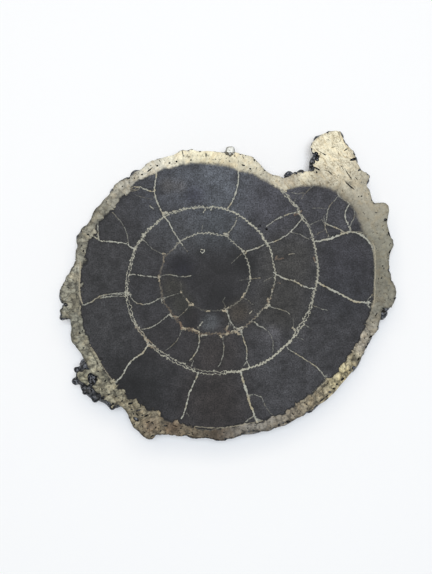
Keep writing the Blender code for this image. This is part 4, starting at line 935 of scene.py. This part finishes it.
def mixed(tree, factor, first, second, blend="MIX"):
    node = tree.nodes.new("ShaderNodeMix")
    node.data_type = "RGBA"
    node.blend_type = blend
    feed(tree, node.inputs["Factor"], factor)
    feed(tree, node.inputs[6], first)    # the colour sockets
    feed(tree, node.inputs[7], second)
    return node.outputs[2]


def speckle(tree, coordinates, size, detail=2.0, roughness=0.5, distortion=0.0):
    node = tree.nodes.new("ShaderNodeTexNoise")
    feed(tree, node.inputs["Vector"], coordinates)
    node.inputs["Scale"].default_value = 1 / size
    node.inputs["Detail"].default_value = detail
    node.inputs["Roughness"].default_value = roughness
    node.inputs["Distortion"].default_value = distortion
    return node.outputs


def attribute(tree, name):
    node = tree.nodes.new("ShaderNodeAttribute")
    node.attribute_name = name
    return node.outputs


def split(tree, vector):
    node = tree.nodes.new("ShaderNodeSeparateXYZ")
    feed(tree, node.inputs[0], vector)
    return node.outputs


def millimetres(tree):   # object coordinates in millimetres from the heart of the coil
    place = tree.nodes.new("ShaderNodeTexCoord")
    mapping = tree.nodes.new("ShaderNodeMapping")
    mapping.inputs["Location"].default_value = -coilCentre / mm
    mapping.inputs["Scale"].default_value = (1 / mm, 1 / mm, 1 / mm)
    tree.links.new(place.outputs["Object"], mapping.inputs["Vector"])
    return mapping.outputs["Vector"]


def newMaterial(name):
    material = bpy.data.materials.new(name)
    material.use_nodes = True
    return material, material.node_tree, material.node_tree.nodes["Principled BSDF"]


def makeGrainGroup():   # brightness of grainy stone, about 1
    group = bpy.data.node_groups.new("stoneGrain", "ShaderNodeTree")
    for name, kind in (("Place", "NodeSocketVector"), ("Size", "NodeSocketFloat"), ("Contrast", "NodeSocketFloat")):
        group.interface.new_socket(name=name, in_out="INPUT", socket_type=kind)
    group.interface.new_socket(name="Light", in_out="OUTPUT", socket_type="NodeSocketFloat")
    given = group.nodes.new("NodeGroupInput").outputs
    result = group.nodes.new("NodeGroupOutput").inputs
    noiseOut = speckle(group, scaled(group, given["Place"], maths(group, "DIVIDE", 1.0, given["Size"])), 1.0, 4, 0.65)
    swing = maths(group, "MULTIPLY", maths(group, "SUBTRACT", noiseOut["Fac"], 0.5), given["Contrast"])
    feed(group, result["Light"], maths(group, "MAXIMUM", maths(group, "ADD", swing, 1.0), 0.1))
    return group


def grain(tree, place, size, contrast):
    node = tree.nodes.new("ShaderNodeGroup")
    node.node_tree = bpy.data.node_groups["stoneGrain"]
    feed(tree, node.inputs["Place"], place)
    feed(tree, node.inputs["Size"], size)
    feed(tree, node.inputs["Contrast"], contrast)
    return node.outputs["Light"]


def ridges(tree, coordinates, size, width, detail=2.0, distortion=0.0):   # thin crooked lines where noise crosses its mean
    fac = speckle(tree, coordinates, size, detail, 0.55, distortion)["Fac"]
    return ease(tree, maths(tree, "ABSOLUTE", maths(tree, "SUBTRACT", fac, 0.5)), width, width * 0.25)


polish = {
    "cloudSize": 6.0, "cloudContrast": 2.6, "blotchSize": 2.0, "blotchContrast": 1.6,
    "grainSize": 0.55, "grainContrast": 4.6,
    "veinPale": (184, 184, 172), "veinWarm": (176, 166, 140),
    "markWarm": (184, 173, 150), "markRusty": (112, 96, 86), "veinSoft": 0.12, "besideVein": 0.3, "veinJag": 1.1, "veinFineJag": 0.3,
    "wallPale": (186, 184, 168), "wallRusty": (140, 124, 104), "wallSoft": 0.13,
    "beadLength": 2.3, "zigzag": (0.75, 0.55),
    "rimLine": (30, 28, 28), "rimDark": 0.78, "pitDark": 0.6,
    "seamPale": (176, 168, 148),
    "pebblePlace": (5.7, 50.3, 0.0), "pebbleShade": (5.2, 49.5, 0.0), "pebbleReach": 1.8,
    "pebbleColour": (236, 236, 228),
    "roughness": 0.5, "specular": 0.12,
}


def makePolished():
    material, tree, shader = newMaterial("polishedFace")
    place = millimetres(tree)
    wobble = vectors(tree, "SUBTRACT", speckle(tree, place, 1.3, 3, 0.6)["Color"], (0.5, 0.5, 0.5))
    fineWobble = vectors(tree, "SUBTRACT", speckle(tree, place, 0.45, 1)["Color"], (0.5, 0.5, 0.5))
    wobbleParts = split(tree, wobble)
    uneven = speckle(tree, place, 0.9, 2, 0.6)["Fac"]

    # the filling: fine grain and cloudy patches
    cloudPlace = vectors(tree, "ADD", place, scaled(tree, wobble, 1.5))
    light = maths(tree, "MULTIPLY", grain(tree, cloudPlace, polish["cloudSize"], polish["cloudContrast"]),
                  grain(tree, place, polish["blotchSize"], polish["blotchContrast"]))
    light = maths(tree, "MULTIPLY", light, grain(tree, place, polish["grainSize"], polish["grainContrast"]))
    fill = scaled(tree, attribute(tree, "fillColour")["Color"], light)

    # veins and chamber walls
    offset = attribute(tree, "veinOffset")["Vector"]
    style = split(tree, attribute(tree, "veinStyle")["Vector"])
    bent = vectors(tree, "ADD", vectors(tree, "MULTIPLY", offset, (1, 1, 0)),
                   vectors(tree, "MULTIPLY", wobble, (polish["veinJag"], polish["veinJag"], 0)))
    bent = vectors(tree, "ADD", bent,
                   vectors(tree, "MULTIPLY", fineWobble, (polish["veinFineJag"], polish["veinFineJag"], 0)))
    gap = maths(tree, "MAXIMUM", vectors(tree, "LENGTH", bent),
                maths(tree, "SUBTRACT", split(tree, offset)["Z"], 0.5))
    half = maths(tree, "MULTIPLY", style["X"], maths(tree, "MULTIPLY_ADD", uneven, 1.0, -0.20))
    veinMask = ease(tree, gap, maths(tree, "ADD", half, polish["veinSoft"]),
                    maths(tree, "SUBTRACT", half, polish["veinSoft"] * 0.6))
    veinMask = maths(tree, "MULTIPLY", veinMask, style["Y"])
    fading = speckle(tree, place, 3.2, 2)["Fac"]
    veinMask = maths(tree, "MULTIPLY", veinMask, maths(tree, "MULTIPLY_ADD", fading, 1.1, 0.38), clamp=True)
    warm = ease(tree, speckle(tree, place, 5.0, 2)["Fac"], 0.45, 0.7)
    veinColour = mixed(tree, warm, rgba(polish["veinPale"]), rgba(polish["veinWarm"]))
    markColour = mixed(tree, ease(tree, style["Z"], 0.5, 0.9), rgba(polish["markWarm"]), rgba(polish["markRusty"]))
    veinColour = mixed(tree, ease(tree, style["Z"], 0.0, 0.4), veinColour, markColour)
    beside = ease(tree, gap, maths(tree, "ADD", half, 0.9), maths(tree, "ADD", half, 0.3))
    beside = maths(tree, "MULTIPLY", beside, maths(tree, "MULTIPLY", style["Y"], polish["besideVein"]))
    fill = scaled(tree, fill, maths(tree, "SUBTRACT", 1.0, beside))
    drawn = mixed(tree, veinMask, fill, veinColour)

    # the coiled shell wall: two thin strands that part and cross like a chain
    wall = split(tree, attribute(tree, "wallPlace")["Vector"])
    look = split(tree, attribute(tree, "wallStyle")["Vector"])
    rust = attribute(tree, "wallRust")["Fac"]
    phase = maths(tree, "MULTIPLY_ADD", wall["Y"], 2 * math.pi / polish["beadLength"],
                  maths(tree, "MULTIPLY", speckle(tree, place, 3.0, 2)["Fac"], 24.0))
    side = maths(tree, "ADD", wall["X"], maths(tree, "MULTIPLY", wobbleParts["Y"], 1.5))
    side = maths(tree, "ADD", side, maths(tree, "MULTIPLY", split(tree, fineWobble)["X"], 0.6))
    alone = ease(tree, look["X"], 0.8, 0.2)   # a strand by itself is crooked and beaded, two are smoother
    zigzag = maths(tree, "PINGPONG", maths(tree, "MULTIPLY_ADD", uneven, 1.5, wall["Y"]), polish["zigzag"][0])
    zigzag = maths(tree, "SUBTRACT", zigzag, polish["zigzag"][0] / 2)
    side = maths(tree, "MULTIPLY_ADD", zigzag, maths(tree, "MULTIPLY", alone, polish["zigzag"][1]), side)
    swing = maths(tree, "MULTIPLY", maths(tree, "SINE", phase), maths(tree, "MULTIPLY", look["X"], 0.24))
    spreadOut = maths(tree, "MULTIPLY_ADD", speckle(tree, place, 2.4, 1)["Fac"], 1.4, -0.15)
    parted = maths(tree, "MULTIPLY_ADD", look["X"], spreadOut, swing)
    apart = maths(tree, "ABSOLUTE", maths(tree, "SUBTRACT", maths(tree, "ABSOLUTE", side), parted))
    apart = maths(tree, "MAXIMUM", apart, maths(tree, "SUBTRACT", wall["Z"], 1.5))
    halfLine = maths(tree, "MULTIPLY", look["Y"], maths(tree, "MULTIPLY_ADD", uneven, 1.2, -0.34))
    wallMask = ease(tree, apart, maths(tree, "ADD", halfLine, polish["wallSoft"]),
                    maths(tree, "SUBTRACT", halfLine, polish["wallSoft"] * 0.7))
    stipple = speckle(tree, place, 0.6, 2, 0.6)["Fac"]
    beads = maths(tree, "MULTIPLY_ADD", stipple, 2.0, maths(tree, "MULTIPLY_ADD", alone, -0.3, 0.3))
    wallMask = maths(tree, "MULTIPLY", wallMask, beads, clamp=True)
    wallMask = maths(tree, "MULTIPLY", wallMask, look["Z"])
    patch = maths(tree, "SUBTRACT", speckle(tree, place, 1.6, 2)["Fac"], 0.5)
    rusty = ease(tree, maths(tree, "ADD", rust, patch), 0.25, 0.75)
    wallColour = mixed(tree, rusty, rgba(polish["wallPale"]), rgba(polish["wallRusty"]))
    drawn = mixed(tree, wallMask, drawn, wallColour)

    # the rim of crust, with a dark line where it meets the filling
    rimPlace = split(tree, attribute(tree, "rimPlace")["Vector"])
    worn = split(tree, attribute(tree, "rimWorn")["Vector"])
    lobePlace = vectors(tree, "ADD", attribute(tree, "crackPlace")["Vector"], scaled(tree, wobble, 0.9))
    domes = tree.nodes.new("ShaderNodeTexVoronoi")
    domes.inputs["Scale"].default_value = 1.0
    feed(tree, domes.inputs["Vector"], lobePlace)
    dome = maths(tree, "MULTIPLY", maths(tree, "SUBTRACT", 0.5, domes.outputs["Distance"]), worn["Y"])
    into = maths(tree, "ADD", rimPlace["X"], maths(tree, "MULTIPLY", wobbleParts["Z"], 1.7))
    into = maths(tree, "MULTIPLY_ADD", dome, 3.6, into)
    rimMask = ease(tree, into, maths(tree, "MULTIPLY", rimPlace["Z"], -1.0), rimPlace["Z"])
    line = ease(tree, maths(tree, "ABSOLUTE", maths(tree, "ADD", into, 0.35)), 0.6, 0.1)
    line = maths(tree, "MULTIPLY", line, ease(tree, rimPlace["Z"], 0.6, 0.35))
    drawn = mixed(tree, maths(tree, "MULTIPLY", line, 0.8), drawn, rgba(polish["rimLine"]))

    lobes = tree.nodes.new("ShaderNodeTexVoronoi")
    lobes.feature = "DISTANCE_TO_EDGE"
    lobes.inputs["Scale"].default_value = 1.0
    feed(tree, lobes.inputs["Vector"], lobePlace)
    groove = ease(tree, lobes.outputs["Distance"], 0.20, 0.0)
    groove = maths(tree, "MULTIPLY", groove, ease(tree, speckle(tree, place, 2.6, 2)["Fac"], 0.38, 0.50))
    groove = maths(tree, "MULTIPLY", groove, worn["Y"], clamp=True)
    creases = maths(tree, "MULTIPLY", ridges(tree, lobePlace, 0.6, 0.07, 1.0), worn["X"])
    creases = maths(tree, "MULTIPLY", creases, ease(tree, speckle(tree, place, 2.2, 2)["Fac"], 0.38, 0.54))
    edge = ease(tree, maths(tree, "ADD", rimPlace["Y"], maths(tree, "MULTIPLY", wobbleParts["X"], 2.8)), 0.9, 0.0)
    spots = ease(tree, speckle(tree, place, 1.0, 2, 0.5, 1.0)["Fac"], 0.38, 0.30)
    mottle = maths(tree, "MULTIPLY_ADD", worn["Y"], 0.9, 0.5)   # the lobed parts are the more mottled
    rimLight = maths(tree, "MULTIPLY", grain(tree, place, 1.2, maths(tree, "MULTIPLY", mottle, 1.6)),
                     grain(tree, place, 3.0, maths(tree, "MULTIPLY", mottle, 1.2)))
    rimLight = maths(tree, "MULTIPLY", rimLight, grain(tree, lobePlace, 0.4, 0.5))
    rimLight = maths(tree, "MULTIPLY", rimLight, maths(tree, "MULTIPLY_ADD", dome, 1.4, 1.08))
    for mask, depth in ((groove, polish["rimDark"]), (spots, polish["pitDark"])):
        rimLight = maths(tree, "MULTIPLY", rimLight, maths(tree, "MULTIPLY_ADD", mask, -depth, 1.0))
    band = maths(tree, "MULTIPLY", ease(tree, into, 5.4, -0.5), maths(tree, "MULTIPLY", rimPlace["Z"], 0.34))
    rimLight = maths(tree, "MULTIPLY", rimLight, maths(tree, "SUBTRACT", 1.0, band))
    edge = maths(tree, "MULTIPLY", edge, worn["Z"])
    rimLight = maths(tree, "MULTIPLY", rimLight, maths(tree, "SUBTRACT", 1.0, edge))
    tan = ease(tree, speckle(tree, lobePlace, 0.9, 3, 0.6)["Fac"], 0.46, 0.62)
    rimHue = mixed(tree, maths(tree, "MULTIPLY", tan, 0.45), (1, 1, 1, 1), (1.0, 0.88, 0.72, 1))
    rimHue = mixed(tree, maths(tree, "MULTIPLY", creases, 0.85), rimHue, (0.45, 0.39, 0.31, 1))
    # the rim's colour attribute carries painted light: brighter at the top, darker at the bottom
    rimShade = scaled(tree, mixed(tree, 1.0, attribute(tree, "rimColourAndLight")["Color"], rimHue, "MULTIPLY"), rimLight)

    # one pale pebble caught in the top of the rim, with a painted shadow round it that shows as a dark crescent below
    # and to the left
    toPebble = vectors(tree, "DISTANCE", vectors(tree, "ADD", place, scaled(tree, wobble, 2.6)), polish["pebblePlace"])
    inPebble = ease(tree, toPebble, polish["pebbleReach"] + 0.15, polish["pebbleReach"] - 0.15)
    toShade = vectors(tree, "DISTANCE", vectors(tree, "ADD", place, scaled(tree, wobble, 1.6)), polish["pebbleShade"])
    inShade = ease(tree, toShade, polish["pebbleReach"] + 0.5, polish["pebbleReach"] + 0.2)
    rimShade = mixed(tree, maths(tree, "MULTIPLY", inShade, 0.85), rimShade, rgba(polish["rimLine"]))
    pebble = scaled(tree, rgba(polish["pebbleColour"])[:3], grain(tree, place, 0.8, 3.0))
    rimShade = mixed(tree, inPebble, rimShade, pebble)
    drawn = mixed(tree, rimMask, drawn, rimShade)

    # seams in the rim, pale and dark
    offset = attribute(tree, "seamOffset")["Vector"]
    style = split(tree, attribute(tree, "seamStyle")["Vector"])
    gap = vectors(tree, "LENGTH", vectors(tree, "ADD", vectors(tree, "MULTIPLY", offset, (1, 1, 0)),
                                          vectors(tree, "MULTIPLY", wobble, (1.0, 1.0, 0))))
    gap = maths(tree, "MAXIMUM", gap, maths(tree, "SUBTRACT", split(tree, offset)["Z"], 0.5))
    half = maths(tree, "MULTIPLY", style["X"], maths(tree, "MULTIPLY_ADD", uneven, 1.6, -0.2))
    seam = ease(tree, gap, maths(tree, "ADD", half, 0.15), maths(tree, "SUBTRACT", half, 0.1))
    paleSeam = maths(tree, "MULTIPLY", seam, style["Y"], clamp=True)
    darkSeam = maths(tree, "MULTIPLY", seam, maths(tree, "MULTIPLY", style["Y"], -1.0), clamp=True)
    drawn = mixed(tree, paleSeam, drawn, rgba(polish["seamPale"]))
    drawn = mixed(tree, darkSeam, drawn, rgba(polish["rimLine"]))
    feed(tree, shader.inputs["Base Color"], drawn)

    shader.inputs["Roughness"].default_value = polish["roughness"]
    shader.inputs["Specular IOR Level"].default_value = polish["specular"]
    bump = tree.nodes.new("ShaderNodeBump")
    bump.inputs["Distance"].default_value = 0.15 * mm
    bump.inputs["Strength"].default_value = 0.5
    feed(tree, bump.inputs["Height"], maths(tree, "MULTIPLY", rimLight, rimMask))
    feed(tree, shader.inputs["Normal"], bump.outputs["Normal"])
    return material


def makeCrust():
    material, tree, shader = newMaterial("naturalCrust")
    place = millimetres(tree)
    cloud = speckle(tree, place, 6.0, 4, 0.6)["Fac"]
    fine = grain(tree, place, 0.9, 1.0)
    glint = ease(tree, speckle(tree, place, 1.6, 3, 0.6)["Fac"], 0.50, 0.68)
    rusty = ease(tree, cloud, 0.60, 0.74)
    sparkle = ease(tree, speckle(tree, place, 0.9, 2, 0.5)["Fac"], 0.52, 0.60)   # painted glints: small bright specks standing for light caught by the crystals
    colour = mixed(tree, glint, rgba((34, 34, 37)), rgba((84, 89, 98)))
    colour = mixed(tree, maths(tree, "MULTIPLY", sparkle, 0.7), colour, rgba((150, 153, 160)))
    colour = mixed(tree, maths(tree, "MULTIPLY", rusty, 0.3), colour, rgba((84, 74, 62)))
    colour = mixed(tree, ease(tree, fine, 0.95, 0.8), colour, rgba((22, 22, 24)))
    paintedShadeInPits = ease(tree, split(tree, place)["Z"], -1.6, -0.5)   # painted shade: the crust is painted near black in the pits and just under the rim
    colour = mixed(tree, maths(tree, "MULTIPLY", paintedShadeInPits, 0.75), colour, rgba((16, 16, 18)))
    toKnob = vectors(tree, "DISTANCE", place, polish["pebblePlace"])
    pale = maths(tree, "MULTIPLY", ease(tree, toKnob, 2.9, 2.2), ease(tree, fine, 0.78, 0.86))
    colour = mixed(tree, pale, colour, rgba((186, 185, 178)))
    feed(tree, shader.inputs["Base Color"], colour)
    feed(tree, shader.inputs["Metallic"], maths(tree, "MULTIPLY", glint, 0.5))
    feed(tree, shader.inputs["Roughness"], maths(tree, "MULTIPLY_ADD", fine, 0.5, 0.0))
    bump = tree.nodes.new("ShaderNodeBump")
    bump.inputs["Distance"].default_value = 0.3 * mm
    bump.inputs["Strength"].default_value = 0.8
    feed(tree, bump.inputs["Height"], fine)
    feed(tree, shader.inputs["Normal"], bump.outputs["Normal"])
    return material


def makePlain(name, colour, roughness):
    material, tree, shader = newMaterial(name)
    shader.inputs["Base Color"].default_value = (*colour, 1)
    shader.inputs["Roughness"].default_value = roughness
    shader.inputs["Specular IOR Level"].default_value = 0.2
    return material


# ---- the piece ----

stone = makeStone()
cutAway(stone, makeSawBlock())
cutBites(stone)
stone = keepLargest(stone)   # without the bubbles that a bite leaves where it misses the surface
drawOnFace(stone)
report("lines drawn")

makeGrainGroup()
stone.data.materials.clear()
stone.data.materials.append(makePolished())
stone.data.materials.append(makeCrust())
centres = np.empty(len(stone.data.polygons) * 3)
normals = np.empty(len(stone.data.polygons) * 3)
stone.data.polygons.foreach_get("center", centres)
stone.data.polygons.foreach_get("normal", normals)
isFace = (np.abs(centres[2::3]) < 0.002) & (normals[2::3] > 0.99)
stone.data.polygons.foreach_set("material_index", np.where(isFace, 0, 1))
points = getPoints(stone) * mm + np.array(coilCentre)
low, high = np.array(cadBounds[0]), np.array(cadBounds[1])
setPoints(stone, np.clip(points, low, high))
activate(stone)
bpy.ops.object.shade_smooth_by_angle(angle=math.radians(50))
report("%d triangles" % sum(len(face.vertices) - 2 for face in stone.data.polygons))

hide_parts("ammonite_half")
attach(stone, "root")

# ---- table, light and camera ----

studio = {
    "floorSize": 6.0, "floorColour": (0.965, 0.965, 0.965), "floorRoughness": 0.9,
    "backdropColour": (0.93, 0.95, 0.97), "backdropStart": 0.25, "backdropFull": 1.5, "backdropGlow": 0.88,
    "worldColour": (0.80, 0.91, 1.0), "worldStrength": 0.16,
    "lamps": {   # place, size, power, colour; the warm one throws a cool soft shadow below the stone
        "overheadLamp": ((0.0, 0.04, 1.25), 0.3, 10.6, (0.858, 0.918, 1.0)),
        "warmLamp": ((-0.02, 0.28, 1.22), 0.83, 5.5, (1.0, 0.86, 0.68)),
    },
    "frameHeight": 0.2296, "frameCentre": (-0.0002, -0.005), "cameraHeight": 0.48,
}

deselectAll()
bpy.ops.mesh.primitive_plane_add(size=studio["floorSize"], location=(0, 0, 0))
floor = bpy.context.active_object
floor.name = "paleFloor"
card = makePlain("paleCard", studio["floorColour"], studio["floorRoughness"])
floor.data.materials.append(card)

tree = card.node_tree   # the card stays pale where the lamps no longer reach, far outside the picture
shader = tree.nodes["Principled BSDF"]
shader.inputs["Emission Color"].default_value = (*studio["backdropColour"], 1)
place = tree.nodes.new("ShaderNodeTexCoord")
distance = tree.nodes.new("ShaderNodeVectorMath")
distance.operation = "LENGTH"
glow = tree.nodes.new("ShaderNodeMapRange")
glow.interpolation_type = "SMOOTHSTEP"
glow.inputs["From Min"].default_value = studio["backdropStart"]
glow.inputs["From Max"].default_value = studio["backdropFull"]
glow.inputs["To Max"].default_value = studio["backdropGlow"]
tree.links.new(place.outputs["Object"], distance.inputs[0])
tree.links.new(distance.outputs["Value"], glow.inputs["Value"])
tree.links.new(glow.outputs["Result"], shader.inputs["Emission Strength"])

for name, (place, size, power, colour) in studio["lamps"].items():
    bpy.ops.object.light_add(type="AREA", location=place)
    lamp = bpy.context.active_object
    lamp.name = name
    lamp.data.size = size
    lamp.data.energy = power
    lamp.data.color = colour
    lamp.rotation_euler = Vector(place).to_track_quat("Z", "Y").to_euler()

world = bpy.data.worlds.new("studio") if bpy.context.scene.world is None else bpy.context.scene.world
bpy.context.scene.world = world
world.use_nodes = True
background = world.node_tree.nodes["Background"]
background.inputs["Color"].default_value = (*studio["worldColour"], 1)
background.inputs["Strength"].default_value = studio["worldStrength"]
backdrop = world.node_tree.nodes.new("ShaderNodeBackground")   # what shows behind the floor in low views
backdrop.inputs["Color"].default_value = (*studio["backdropColour"], 1)
seen = world.node_tree.nodes.new("ShaderNodeLightPath")
either = world.node_tree.nodes.new("ShaderNodeMixShader")
world.node_tree.links.new(seen.outputs["Is Camera Ray"], either.inputs[0])
world.node_tree.links.new(background.outputs[0], either.inputs[1])
world.node_tree.links.new(backdrop.outputs[0], either.inputs[2])
world.node_tree.links.new(either.outputs[0], world.node_tree.nodes["World Output"].inputs["Surface"])

cameraHeight = studio["cameraHeight"]
bpy.ops.object.camera_add(location=(coilCentre.x + studio["frameCentre"][0], coilCentre.y + studio["frameCentre"][1],
                                    coilCentre.z + cameraHeight), rotation=(0, 0, 0))
camera = bpy.context.active_object
camera.name = "topCamera"
camera.data.sensor_fit = "VERTICAL"
camera.data.sensor_height = 24.0
camera.data.lens = camera.data.sensor_height * cameraHeight / studio["frameHeight"]
camera.data.clip_start = 0.01
bpy.context.scene.camera = camera
bpy.context.scene.view_settings.view_transform = "Standard"
